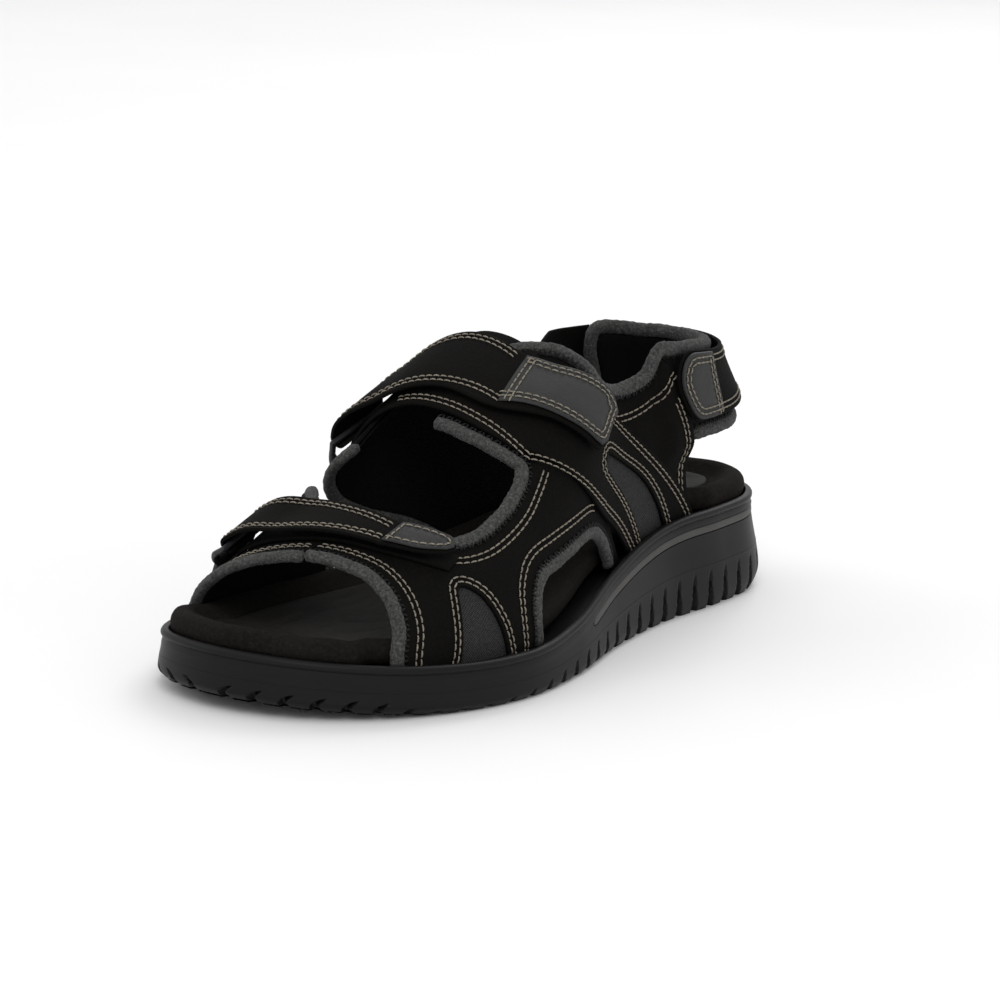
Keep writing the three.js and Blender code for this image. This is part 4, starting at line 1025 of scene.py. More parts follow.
# ---- Pattern pieces --------------------------------------------------------------------------
OUTER_TOE_EDGE = [
    (-108.5, 0), (-107.5, 7), (-104, 16), (-101, 27), (-100, 37), (-101.5, 46), from_ridge(1, -104, 0.5),
]
OUTER_ARCH_EDGE = [
    (-48.5, 0), (-48, 17), (-42, 25.5), (-30, 28), (-4, 28), (11, 20), (21, 8), (24, 0),
]
OUTER_INSTEP_EDGE = [
    from_ridge(1, -84, 8), (-75, 44), (-66, 41.5), (-55, 42.5), (-42, 48), (-34, 55),
]
FRONT_FIN = [(-87, 3.5), (-81, 21), (-77, 28), (-72, 25), (-67, 13), (-65, 3.5)]
BAND_FRONT_WALL = [(-27, 60), (1, 32), (23, 15), (37, 0.3)]
BAND_REAR_WALL = [(83, 0.5), (80, 6), (69, 19), (48, 38), (15, 61), (4, 67)]
REAR_FIN_LOW = [(45, 4), (36, 17), (27, 27), (16, 36.5), (8, 43.5)]
REAR_FIN_HIGH = [(12, 46.5), (30, 36), (46, 25), (56, 14), (62, 4)]
OUTER_COLLAR_EDGE = [(9, 70), (28, 59), (44, 55), (56, 56), (63, 60), (66, 64.2)]
INNER_TOE_EDGE = [
    (-110, 0), (-111, 10), (-112, 20), (-111, 31), (-109.5, 42), from_ridge(-1, -105, 0.5),
]
INNER_VAMP_REAR = [
    from_ridge(-1, -84, 8), (-76, 49), (-63, 46), (-51, 38), (-41, 25), (-36.5, 10), (-36, 0),
]
INNER_QUARTER_FRONT = [
    (17, 0), (10, 10), (-4, 19.5), (-20, 27), (-34, 36), (-41, 47), (-42, 58), from_ridge(-1, -41, 27),
]
INNER_COLLAR_EDGE = [
    from_ridge(-1, -14, 26), (-3, 73), (10, 65), (28, 58), (44, 55), (58, 56), (72, 60),
]
INNER_FIN_LOW = [(45, 6), (36, 17), (27, 26), (18, 33)]
INNER_FIN_HIGH = [(14, 41), (30, 35), (46, 25), (56, 14), (61, 6)]


OUTER_COLLAR = [
    from_ridge(1, -25, 3), from_ridge(1, -17.5, 11), from_ridge(1, -8.5, 23), *OUTER_COLLAR_EDGE,
]
QUARTER_REAR = [(70, 62), (75.5, 52), (78.5, 42), (79, 34), (77.8, 18), (81, 4)]
QUARTER_UNDER_BAND = [
    (62, 13), (42, 32), (12, 52), (-5, 68), from_ridge(1, -16, 25), from_ridge(1, -24, 14),
]


def quarter_place(station, up, away):
    """On the outer wall, rising over the heel band's end behind the collar."""
    over_band = smoothstep(station, 59, 68) * smoothstep(up, 22, 33)
    return OUT(station, up, away + (HEEL_PAD[1] - SHELL[0] + 0.1) * over_band)


def outer_vamp():
    """Outer vamp, from the toe opening back under the band."""
    return outlined(
        OUTER_TOE_EDGE, [from_ridge(1, -84, 0.5)], OUTER_INSTEP_EDGE,
        [(-30.4, 60), (-24, 59)], [(8, 33), (32, 0)], OUTER_ARCH_EDGE[::-1])


def outer_quarter():
    """Outer heel quarter, behind the band up to the collar."""
    return outlined(OUTER_COLLAR, QUARTER_REAR, [(81.5, 0), (75, 0)], QUARTER_UNDER_BAND)


def lining_quarter():
    """The quarter's lining, which ends ahead of the heel band."""
    return outlined(
        OUTER_COLLAR, [(67, 36), (79, 34)], [(79, 34), (77.5, 18), (81, 4)], [(81.5, 0), (75, 0)],
        QUARTER_UNDER_BAND)


def inner_vamp():
    """Inner vamp."""
    return outlined(INNER_TOE_EDGE, [from_ridge(-1, -84, 0.5)], INNER_VAMP_REAR)


def inner_quarter():
    """Inner quarter, from the ring back to the free heel."""
    return outlined(INNER_QUARTER_FRONT, INNER_COLLAR_EDGE, [(78, 38), (77.5, 18), (81, 3)], [(81.5, 0)])


def outer_band():
    """The slanting band from the heel over the instep to the ring."""
    bar = INSTEP_BAR.bar
    foot = to_ridge([(c, 0.3) for c in (38, 46, 54, 62, 72, 82)])
    return outlined(
        foot, run_to_ridge(BAND_REAR_WALL), [(-12, 32), (-12, 8), (-13, -20), (-17, bar - 1)],
        [(-33.5, bar - 1), (-34.5, -16), (-35.5, 4), (-35.5, 20), (-33.5, 34)],
        run_to_ridge(BAND_FRONT_WALL))


def rear_window():
    """The window in the band."""
    return outlined(run_to_ridge(REAR_FIN_LOW), run_to_ridge(REAR_FIN_HIGH))


HEEL_STRAP_END = 89.0
HEEL_STRAP_LOW = 41.0
HEEL_STRAP_HIGH = 66.0
HEEL_TAB_START = HEEL_STRAP_END - 26.5
HEEL_BAND_LOW = 37.0
HEEL_BAND_HIGH = 65.0
HEEL_BAND_RIGHT = HEEL_STATION - 67.6
HEEL_BAND_LEFT = 112.0 - HEEL_STATION


def heel_strap_edge(inset, start):
    """Free end of the heel strap, drawn in by `inset`."""
    low, high = HEEL_STRAP_LOW, HEEL_STRAP_HIGH
    return outlined(
        [(start, low + inset), (HEEL_STRAP_END - 22, low - 1 + inset)],
        [(HEEL_STRAP_END + past, up) for past, up in (
            (-17, low - 1 + inset), (-7, low + inset), (-1 - inset, 50), (-inset, 56), (-3 - inset, 63),
            (-9, high + 1 - inset), (-17, high + 1 - inset))],
        [(HEEL_STRAP_END - 26, high + 0.5 - inset), (start, high - inset)])


TOE_STRAP_SHAPE = [
    [(-101, -33 - FOLD_LENGTH), (-101, -33)],
    [(-101, -30), (-101, -12), (-97, 5), (-92.5, 19)], [(-92.5, 19), (-85, 28.5), (-77, 34.5)],
    [(-74, 35.5), (-71.5, 34.5), (-71.5, 32)],
    [(-74, 26), (-78.5, 19), (-78.5, 0), (-77, -20), (-77, -30)], [(-77, -33), (-77, -33 - FOLD_LENGTH)],
]
INSTEP_STRAP_SHAPE = [
    [(-35, -38 - FOLD_LENGTH), (-35, -38)],
    [(-34.8, -34), (-33, -16), (-32, 0), (-31, 22), (-19, 44), (-9, 59)],
    [(-9, 59), (-6, 62.5), (-2, 62.5)], [(5, 56.5), (9, 52), (9.5, 48.5)],
    [(6, 46.5), (-4, 37), (-12, 28.5), (-16, 20), (-16, 0), (-16.5, -18), (-17, -34)],
    [(-17, -38), (-17, -38 - FOLD_LENGTH)],
]
TOE_BASE_SHAPE = [
    [(-99, -34), (-99, -12), (-95, 5), (-91, 18), (-84, 30), (-78, 38)],
    [(-71, 37), (-76, 27), (-80, 18), (-80, 0), (-79, -20), (-79, -34)],
]
TOE_TAB_SHAPE = [
    [(-92, 18.6), (-85, 27.8), (-77.2, 33.8)], [(-74.4, 34.8), (-72, 34), (-72, 31.8)],
    [(-74.6, 26.2), (-79.2, 18.6)],
]
INSTEP_TAB_SHAPE = [
    [(-30, 22.5), (-18.6, 43.4), (-8.6, 58)], [(-5.6, 61.3), (-2.4, 61.3)],
    [(4.4, 55.7), (8.2, 51.4), (8.5, 49.2)],
    [(5.2, 46.6), (-4.6, 37.6), (-12, 29.6), (-16.6, 20.5)],
]

# A seam is a run, the side of the run its rows are on (1 left, -1 right), and the rows' distances.
PAIR = (3.0, 5.0)
BOUND_PAIR = (4.4, 6.4)
COLLAR_PAIR = (6.4, 8.4)
ARCH_PAIR = (5.2, 7.2)
STRAP_PAIR = (2.2, 4.2)
WINDOW_PAIR = (1.6, 3.4)
TAB_PAIR = (1.8, 3.7)


def fixed_leather():
    """The leather pieces that stay with the sole."""
    return {
        "lateral_vamp": ([outer_vamp(), outlined(FRONT_FIN)], OUT, SHELL, [
            (OUTER_TOE_EDGE, -1, BOUND_PAIR),
            (OUTER_INSTEP_EDGE[1:] + [(-29.5, 60)], -1, BOUND_PAIR),
            (OUTER_ARCH_EDGE[:5] + [(1, 26)], 1, ARCH_PAIR),
            ([(-88.5, 0.5)] + FRONT_FIN + [(-64.4, 0.5)], 1, WINDOW_PAIR),
        ]),
        "lateral_instep_band": (
            [outer_band(), rear_window()], OVER_FOOT, OVER, [
                (run_to_ridge(BAND_REAR_WALL), -1, STRAP_PAIR),
                ([(-34.5, -16), (-35.5, 4), (-35.5, 20)]
                 + run_to_ridge([(-33, 60)] + BAND_FRONT_WALL[1:]), -1, STRAP_PAIR),
                (run_to_ridge([(46.5, 0.8)] + REAR_FIN_LOW + [(7.5, 46.0)] + REAR_FIN_HIGH + [(63.6, 0.8)]),
                 -1, WINDOW_PAIR),
            ]),
        "lateral_heel_quarter": ([outer_quarter()], quarter_place, SHELL, [
            (OUTER_COLLAR_EDGE + [(70, 66)], -1, COLLAR_PAIR),
            (QUARTER_REAR[1:-1] + [(81, 2)], -1, PAIR),
        ]),
        "medial_vamp": ([inner_vamp()], IN, SHELL, [
            (INNER_TOE_EDGE, -1, BOUND_PAIR),
            (INNER_VAMP_REAR, -1, BOUND_PAIR),
        ]),
        "medial_quarter": (
            [inner_quarter(), outlined(INNER_FIN_LOW, INNER_FIN_HIGH)], IN, SHELL, [
                (INNER_QUARTER_FRONT, -1, BOUND_PAIR),
                (INNER_COLLAR_EDGE, -1, COLLAR_PAIR),
                ([(78, 38), (77.5, 18), (81, 2)], -1, PAIR),
                ([(46.5, 1)] + INNER_FIN_LOW + [(14, 38)] + INNER_FIN_HIGH + [(63, 1)], 1, WINDOW_PAIR),
            ]),
        "toe_strap_base": ([outlined(*TOE_BASE_SHAPE)], OVER_FOOT, OVER, []),
        "heel_strap_root": ([outlined(
            [(-98, 42), (-96, 38), (-90, 37)], [(-70, 39), (-46.3, 41)], [(-46.3, 66), (-70, 64.5)],
            [(-88, 59), (-95, 52)])], root_place, OVER, [
                ([(-90, 37), (-70, 39), (-46.3, 41)], 1, STRAP_PAIR),
                ([(-88, 59), (-70, 64.5), (-46.3, 66)], -1, STRAP_PAIR),
                ([(-88, 59), (-95, 52), (-98, 42), (-96, 38), (-90, 37)], 1, STRAP_PAIR),
        ]),
    }


def moving_leather():
    """The leather pieces of the three straps that open."""
    return {
        "toe_strap": ([outlined(*TOE_STRAP_SHAPE)], TOE_BAR.strap, STRAP, "toe_flap", "nubuck", [
            ([(-101, -33 - 12), (-101, -30), (-101, -12), (-97, 5), (-92.5, 19)], -1, STRAP_PAIR),
            ([(-79.2, 18), (-78.5, 0), (-77, -20), (-77, -33 - 12)], -1, STRAP_PAIR),
        ]),
        "toe_tab": ([outlined(*TOE_TAB_SHAPE)], TOE_BAR.strap, TAB, "toe_flap", "tab_leather", [
            ([(-92, 18.6), (-85, 27.8), (-77.2, 33.8), (-73.4, 34.8), (-71.9, 32.8), (-74.6, 26.2),
              (-79.2, 18.6)], -1, (1.7,)),
            ([(-79.2, 18.6), (-92, 18.6)], -1, (1.4,)),
        ]),
        "instep_strap": ([outlined(*INSTEP_STRAP_SHAPE)], INSTEP_BAR.strap, STRAP, "instep_flap", "nubuck", [
            ([(-35, -38 - 12), (-34.8, -34), (-33, -16), (-32, 0), (-30.9, 22)], -1, STRAP_PAIR),
            ([(-16.2, 19), (-16, 0), (-16.5, -18), (-17, -34), (-17, -50)], -1, STRAP_PAIR),
        ]),
        "instep_tab": ([outlined(*INSTEP_TAB_SHAPE)], INSTEP_BAR.strap, TAB, "instep_flap", "tab_leather", [
            ([(-30, 22.5), (-18.6, 43.4), (-8.6, 58), (-4, 61.4), (4.4, 55.7), (8.5, 50), (5.2, 46.6),
              (-4.6, 37.6), (-12, 29.6), (-16.6, 20.5)], -1, TAB_PAIR),
            ([(-16.6, 20.5), (-30, 22.5)], -1, TAB_PAIR),
        ]),
        "heel_strap": ([heel_strap_edge(0, -45.7)], ROUND_HEEL, HEEL_STRAP, "heel_flap", "nubuck", [
            ([(-45.7, 41), (HEEL_STRAP_END - 22, 40)], 1, STRAP_PAIR),
            ([(-45.7, 66), (HEEL_STRAP_END - 26, 66.5)], -1, STRAP_PAIR),
        ]),
        "heel_tab": (
            [heel_strap_edge(0.8, HEEL_TAB_START)], ROUND_HEEL, HEEL_TAB, "heel_flap", "tab_leather", [
                ([(HEEL_STRAP_END + past, up) for past, up in (
                    (-26, 41), (-17, 41), (-7, 42), (-2, 50), (-1, 56), (-4, 62.4), (-9, 66), (-17, 66.2),
                    (-26, 65.8))], 1, TAB_PAIR),
                ([(HEEL_TAB_START, 65.7), (HEEL_TAB_START, 40.8)], 1, TAB_PAIR),
            ]),
    }


def seam_rows(place, away, seams, sizes):
    """Stitches and pressed lines of a piece: blocks of stitches, and pattern points under them."""
    rows, pressed = [], []
    for run, side, distances in seams:
        for distance in distances:
            rows.append(stitch_row(run, place, away, side * distance, sizes))
            pressed.append(real_run(run, place, away, side * distance, 1.1)[0])
    return rows, np.vstack(pressed) if pressed else None


def pressed_depth(flat, pressed, depth=0.28, width=0.6):
    """How far the surface is pulled in under its seams."""
    if pressed is None:
        return None
    nearest = np.full(len(flat), 99.0)
    for i in range(0, len(flat), 500):
        gaps = np.sqrt(((flat[i:i + 500, None] - pressed[None]) ** 2).sum(axis=2))
        nearest[i:i + 500] = gaps.min(axis=1)
    return depth * np.exp(-(nearest / width) ** 2)


def make_sheet(name, loops, place, layer, finish, body, seams=(), cell=2.4, bevel=0.45, crown=0.0):
    """A sewn sheet from its pattern, with its seams pressed in, and its stitches as a piece of their own."""
    sizes = stitch_sizes()
    rows, pressed = seam_rows(place, layer[1], seams, sizes)
    flat, faces = triangulated(loops, cell, extra=pressed)
    press = pressed_depth(flat, pressed)
    points, every, uv = slab(flat, faces, place, layer[0], layer[1], bevel, press, crown, loops)
    made = make_object(name + "_visual", points, every, FINISHES[finish], body, [name], uv, angle=50)
    if rows:
        make_stitches(name + "_stitches", rows, FINISHES["pale_thread"], body)
    return made


def stitch_sizes():
    """Sizes of the pale stitches, in millimetres."""
    sizes = bpy.context.scene.sandal_sizes
    return {
        "pitch": sizes.stitch_pitch / MM, "length": sizes.stitch_length / MM,
        "width": sizes.thread_width / MM,
        "bow": 0.36, "dip": 0.16,
    }


# ---- Sole ------------------------------------------------------------------------------------
class Ring:
    """Places all round the sole, at even running lengths on both sides."""

    def __init__(self, steps):
        points, outs, stations, arounds = [], [], [], []
        for side, order in ((1, range(steps + 1)), (-1, range(steps - 1, 0, -1))):
            length = SIDES[side][1][-1]
            at = length * np.array(list(order)) / steps
            point, out = along_side(side, at)
            bend_run = float(run_at_station(side, np.array(BEND)))
            round_heel = lerp(BEND, HEEL_STATION, (at - bend_run) / (length - bend_run))
            station = np.where(at <= bend_run, point[:, 1], round_heel)
            points.append(point)
            outs.append(out)
            stations.append(station)
            arounds.append(side * (length - at))
        self.steps = steps
        self.point = np.vstack(points)
        self.out = np.vstack(outs)
        self.y = self.point[:, 1]
        self.station = np.concatenate(stations)
        self.around = np.concatenate(arounds)

    def level(self, inset, height):
        """One ring of points at an inset and height."""
        place = self.point - self.out * np.broadcast_to(inset, self.y.shape)[:, None]
        return np.column_stack([place, np.broadcast_to(height, self.y.shape)])

    def strips(self, rings):
        """Side faces between rows of rings."""
        n = len(self.y)
        index = np.arange(len(rings) * n).reshape(len(rings), n)
        turned = np.roll(index, -1, axis=1)
        return np.stack([index[:-1], turned[:-1], turned[1:], index[1:]], axis=-1).reshape(-1, 4)

    def cap(self, start):
        """Faces across one ring, as a ladder from side to side."""
        n, half = len(self.y), self.steps
        at = lambda i: start + (i + n) % n
        faces = [(at(0), at(1), at(-1))]
        faces += [(at(i), at(i + 1), at(-i - 1), at(-i)) for i in range(1, half - 1)]
        faces.append((at(half - 1), at(half), at(-half + 1)))
        return faces


LUG_PITCH = 10.5
GROOVE_DEPTH = 3.1


def side_groove(around, share):
    """Depth of the side grooves: waves that rise from the ground and lean back as they narrow."""
    reach = np.where(around >= 0, SIDES[1][1][-1], SIDES[-1][1][-1])
    from_heel = np.abs(around)
    rear = 1 - smoothstep(from_heel / reach, 0.52, 0.74)
    toe = smoothstep(from_heel / reach, 0.76, 0.84)
    top = 0.10 + 0.30 * rear + 0.20 * toe
    bend = 1.9 * np.sin(share / np.maximum(top, 0.05) * math.pi * 1.15) * (0.35 + 0.65 * rear)
    bend = bend - 2.8 * toe * share / top
    lean = 3.4 * rear * share / 0.4 + bend + 1.5 * toe * np.sin(share / top * math.pi)
    phase = (from_heel - 5.0 - lean) / LUG_PITCH
    off = np.abs(phase - np.round(phase)) * LUG_PITCH
    taper = np.clip(1 - share / top, 0, 1)
    half = 0.35 + 1.35 * taper ** 1.2
    depth = GROOVE_DEPTH * np.clip(taper * 2.4, 0, 1) * (0.35 + 0.65 * np.maximum(rear, toe))
    wall = 1 - smoothstep(off, half * 0.55, half + 0.45)
    inside = (from_heel > 3) & (from_heel < reach - 4)
    return depth * wall * inside


def ground_relief(points, ring):
    """How deep the ground face is cut at each place: chevron channels and the blocks' edges."""
    x, y = points[:, 0], points[:, 1]
    cut = np.zeros(len(points))
    for i in range(9):
        centre = OVERALL_LENGTH * (-0.4 + 0.1 * i)
        line = centre - 0.7 + 6.0 * np.abs(x) / (HEEL_WIDTH * 0.3)
        off = np.abs(y - line)
        cut = np.maximum(cut, 1.4 * (1 - smoothstep(off, 0.9, 1.9)) * (np.abs(x) < HEEL_WIDTH * 0.3))
    edge = ring.point
    nearest = np.full(len(points), 1e9)
    around = np.zeros(len(points))
    for k in range(0, len(edge), 4):
        gap = np.hypot(x - edge[k, 0], y - edge[k, 1])
        closer = gap < nearest
        nearest[closer], around[closer] = gap[closer], ring.around[k]
    lug = side_groove(around, np.full(len(points), 0.02)) / GROOVE_DEPTH
    cut = np.maximum(cut, 2.2 * lug * (1 - smoothstep(nearest, 9, 13)))
    belt = np.abs(nearest - 14.5)
    return np.maximum(cut, 1.2 * (1 - smoothstep(belt, 0.6, 1.4)))


def make_outsole():
    """The tread: grooved side wall, and ground face with channels and blocks."""
    ring = Ring(600)
    shares = np.concatenate([
        [0, 0.012, 0.03], np.linspace(0.05, TREAD_SHARE - 0.03, 20), [TREAD_SHARE - 0.012]])
    rings = []
    for share in shares:
        height = spring_at(ring.y) + share * (rim_at(ring.y) - spring_at(ring.y))
        if share == shares[-1]:
            height = parting_at(ring.y) - 0.02
        groove = side_groove(ring.around, np.full(len(ring.y), share))
        rings.append(ring.level(wall_inset(ring.y, share) + groove, height))
    points = np.vstack(rings)
    faces = [tuple(f) for f in ring.strips(rings)]
    n = len(ring.y)
    loop = rings[0][:, :2]
    flat, ground = triangulated([loop], 2.0, rings=())
    relief = ground_relief(flat, ring)
    relief *= smoothstep(edge_distance(flat, [loop])[0], 0.0, 0.4)
    under = np.column_stack([flat, spring_at(flat[:, 1]) + relief])
    nearest = [int(np.argmin(((loop - p) ** 2).sum(axis=1))) for p in flat]
    same = np.array([np.hypot(*(loop[k] - p)) < 1e-6 for k, p in zip(nearest, flat)])
    index = np.where(same, nearest, len(points) + np.cumsum(~same) - 1)
    points = np.vstack([points, under[~same]])
    faces += [tuple(index[f][::-1]) for f in ground]
    faces += ring.cap((len(rings) - 1) * n)
    return faced_out(points, faces)


def faced_out(points, faces):
    """The same mesh with its faces pointing outward."""
    thirds = np.array([t for f in faces for t in ((f[0], f[k], f[k + 1]) for k in range(1, len(f) - 1))])
    if volume(points, thirds) < 0:
        faces = [f[::-1] for f in faces]
    return points, faces


def stripe_share(ring, height):
    """1 inside the stripe's groove at a height above its middle, 0 outside it."""
    to_end = np.clip((STRIPE_REACH - np.abs(ring.around)) / (1.5 * STRIPE_HEIGHT), 0, 1)
    half = (STRIPE_HEIGHT / 2 + 0.25) * np.sqrt(np.maximum(to_end * (2 - to_end), 0))
    return (1 - smoothstep(np.abs(height), half - 0.12, half + 0.12)) * smoothstep(to_end, 0, 0.2)


def make_midsole():
    """The upper half of the sole: flared wall, groove for the stripe, shoulder and rounded rim."""
    ring = Ring(460)
    y = ring.y
    rim = rim_at(y)
    spring = spring_at(y)
    rings = []

    def wall(height, further=0.0):
        share = (height - spring) / (rim - spring)
        cut = stripe_share(ring, height - (rim - STRIPE_DROP)) * 1.3
        bulge = -0.55 * np.exp(-((height - rim + 4.2) / 1.1) ** 2) * (0.25 + 0.75 * rise_at(y))
        rings.append(ring.level(wall_inset(y, share) + cut + further + bulge, height))

    low = parting_at(y) + 0.02
    stripe_low = rim - STRIPE_DROP - STRIPE_HEIGHT / 2
    for t in np.linspace(0, 0.93, 7):
        wall(np.minimum(lerp(low, stripe_low - 0.5, t), rim - 4.0 - 2 * (1 - t)))
    for lift in (-0.35, -0.2, -0.05, 0.15, 0.8, 1.3, 1.8, 2.45, 2.65, 2.8, 2.95, 3.2):
        wall(np.maximum(stripe_low, low + 0.4) + lift * np.clip((rim - 3.0 - low) / 4.5, 0.2, 1))
    inset = rim_inset(y)
    for drop, out in ((2.9, 0.0), (2.6, 0.25), (2.2, 0.62), (1.7, 0.8), (1.1, 0.78), (0.6, 0.5), (0.2, 0.0)):
        rings.append(ring.level(inset - out, rim - drop))
    inner = pocket_inset(y)
    for away, drop in ((0.5, 0.0), (1.6, 0.0), (1.9, 0.3), (2.0, 1.0), (2.0, UPPER_TUCK + SEAM_GAP)):
        rings.append(ring.level(inset + away * (inner - inset) / RIM_WALL, rim - drop))
    points = np.vstack(rings)
    faces = [tuple(f) for f in ring.strips(rings)]
    faces += [f[::-1] for f in ring.cap(0)] + ring.cap((len(rings) - 1) * len(y))
    return faced_out(points, faces)


def make_stripe():
    """The inlaid stripe round the rear of the sole."""
    count = 420
    around = np.linspace(-STRIPE_REACH, STRIPE_REACH, count)
    to_end = np.clip((STRIPE_REACH - np.abs(around)) / (1.5 * STRIPE_HEIGHT), 0.02, 1)
    half = STRIPE_HEIGHT / 2 * np.sqrt(to_end * (2 - to_end))
    section = [(-1, 1.1), (-1, 0.05), (-0.86, -0.12), (-0.4, -0.22), (0.4, -0.22), (0.86, -0.12), (1, 0.05),
               (1, 1.1)]
    rows = []
    for up, depth in section:
        place = np.zeros((count, 3))
        for side in (1, -1):
            here = (around >= 0) if side > 0 else (around < 0)
            point, out = along_side(side, SIDES[side][1][-1] - np.abs(around[here]))
            y = point[:, 1]
            height = rim_at(y) - STRIPE_DROP + up * half[here]
            share = (height - spring_at(y)) / (rim_at(y) - spring_at(y))
            flat = point - out * (wall_inset(y, share) + depth)[:, None]
            place[here] = np.column_stack([flat, height])
        rows.append(place)
    return rings_closed(np.stack(rows, axis=1))


def spread_share(station):
    """1 where the footbed reaches the rim, 0 where the upper stands beside it."""
    return np.maximum(1 - smoothstep(station, -125, -117), smoothstep(station, 86, 94))


def bed_inset(ring, further):
    """Inset of the footbed's side, plus something more."""
    free = spread_share(ring.station)
    return lerp(foot_inset(ring.y) + BED_CLEARANCE, pocket_inset(ring.y) + SEAM_GAP, free) + further


def bed_profile(profile, steps=9):
    """A smooth profile of (further inset, height above the rim) pairs."""
    return through(profile, np.linspace(0, 1, steps * (len(profile) - 1) + 1))


def make_footbed():
    """The suede cover with its thick rolled edge."""
    ring = Ring(300)
    roll = ROLL_HEIGHT
    outer = [(0.9, -1.2), (0.1, 0.2), (-0.1, 2.0), (0.25, roll - 2.4), (1.5, roll - 0.75), (4.0, roll),
             (6.6, roll - 0.5), (9.2, roll - 2.2), (12.2, 2.3), (16.0, 1.4), (20.0, 1.0)]
    lower = [(20.0, -0.2), (12.3, 0.9), (8.0, roll - 3.2), (4.2, roll - 1.4), (1.6, roll - 3.6), (1.5, -1.2)]
    rings = []
    wave = 0.16 * np.sin(ring.around * 0.21) + 0.12 * np.sin(ring.around * 0.083 + 1.0)
    for further, height in bed_profile(outer, 4):
        waved = wave * math.exp(-((further - 4) / 4) ** 2)
        rings.append(ring.level(bed_inset(ring, further), rim_at(ring.y) + height + waved))
    for further, height in lower:
        rings.append(ring.level(bed_inset(ring, further), rim_at(ring.y) + height))
    points = np.vstack(rings + [rings[0]])
    n = len(ring.y)
    faces = [tuple(f) for f in ring.strips(rings)]
    last = (len(rings) - 1) * n
    faces += [(last + i, last + (i + 1) % n, (i + 1) % n, i) for i in range(n)]
    return faced_out(points[:len(rings) * n], faces)


def grain_lines(points):
    """Relief of the pressed swirls on the sock."""
    x, y = points[:, 0], points[:, 1]
    knots = [(-6, -92, 13, 30), (9, -30, 10, 26), (-4, 40, 12, 34), (3, 104, 11, 24)]
    field = x / 6.4 + 0.35 * np.sin(y * 0.05) + 0.2 * np.sin(y * 0.11 + x * 0.1)
    for kx, ky, wide, long_ in knots:
        r = np.sqrt(((x - kx) / wide) ** 2 + ((y - ky) / long_) ** 2)
        field = field + 1.6 * np.exp(-r ** 2) * np.sign(x - kx + 0.001) * np.minimum(np.abs(x - kx) / 3.0, 1)
    off = np.abs(field - np.round(field))
    return 0.34 * (1 - smoothstep(off, 0.05, 0.17))


def make_sock():
    """The pressed sock panel inside the rolled edge."""
    ring = Ring(240)
    edge = ring.level(bed_inset(ring, 13.8), 0)[:, :2]
    flat, faces = triangulated([edge], 1.7, rings=(0.4, 1.0))
    distance = edge_distance(flat, [edge])[0]
    base = rim_at(flat[:, 1]) + 1.55
    top = base + 0.75 * np.sqrt(np.clip(distance / 1.2, 0, 1)) + 0.9 * (1 - smoothstep(distance, 0, 9))
    top = top - grain_lines(flat) * smoothstep(distance, 2, 5)
    low = rim_at(flat[:, 1]) + 1.2 + 0.6 * (1 - smoothstep(distance, 0, 9))
    return two_faced(flat, faces, np.column_stack([flat, top]), np.column_stack([flat, low]))


# ---- Rings -----------------------------------------------------------------------------------
RING_ROUNDING = 0.75
RING_RISE = 0.35
RING_SPACING = 0.8
PLATE_MARGIN = 4.4
PLATE_ROUNDING = 0.6
PLATE_RISE = 0.55


def half_moon(half_width, top, bottom, count=28):
    """A D shape below a straight top."""
    turn = np.pi * np.arange(count + 1) / count
    return [(half_width * math.cos(t), top + (bottom - top) * math.sin(t)) for t in turn]


def rounded_plan(loops, rounding):
    """Flat triangles of a moulded piece, and how far its rounded edge drops at each point."""
    flat, faces = triangulated(loops, 0.9, rings=(0.12, 0.35, 0.7))
    left = np.clip(1 - edge_distance(flat, loops)[0] / rounding, 0, 1)
    return flat, faces, rounding * (1 - np.sqrt(1 - left ** 2))


def ring_loops(strap_width):
    """The ring's outline, its slot for the strap, and the hollow for its plate."""
    w, half_bar = strap_width / 2, RING_BAR / 2
    outer = outlined(
        [(-w - 3, -half_bar), (w + 3, -half_bar)], [(w + 3, 4.2), (w + 1.5, 7.2), (w - 1.2, 9)],
        half_moon(w - 1.2, 9, 21.5)[1:-1], [(-w + 1.2, 9), (-w - 1.5, 7.2), (-w - 3, 4.2)],
        spacing=RING_SPACING)
    slot = outlined(
        [(-w - 0.9, half_bar), (-w - 0.9, 4.6)], [(-w + 2, 6.8), (w - 2, 6.8)],
        [(w + 0.9, 4.6), (w + 0.9, half_bar)], spacing=RING_SPACING)
    hollow = outlined(
        [(w - 3.6, 9.6)], half_moon(w - 3.6, 9.6, 18.6)[1:-1], [(-w + 3.6, 9.6)], spacing=RING_SPACING)
    return [outer, slot, hollow]


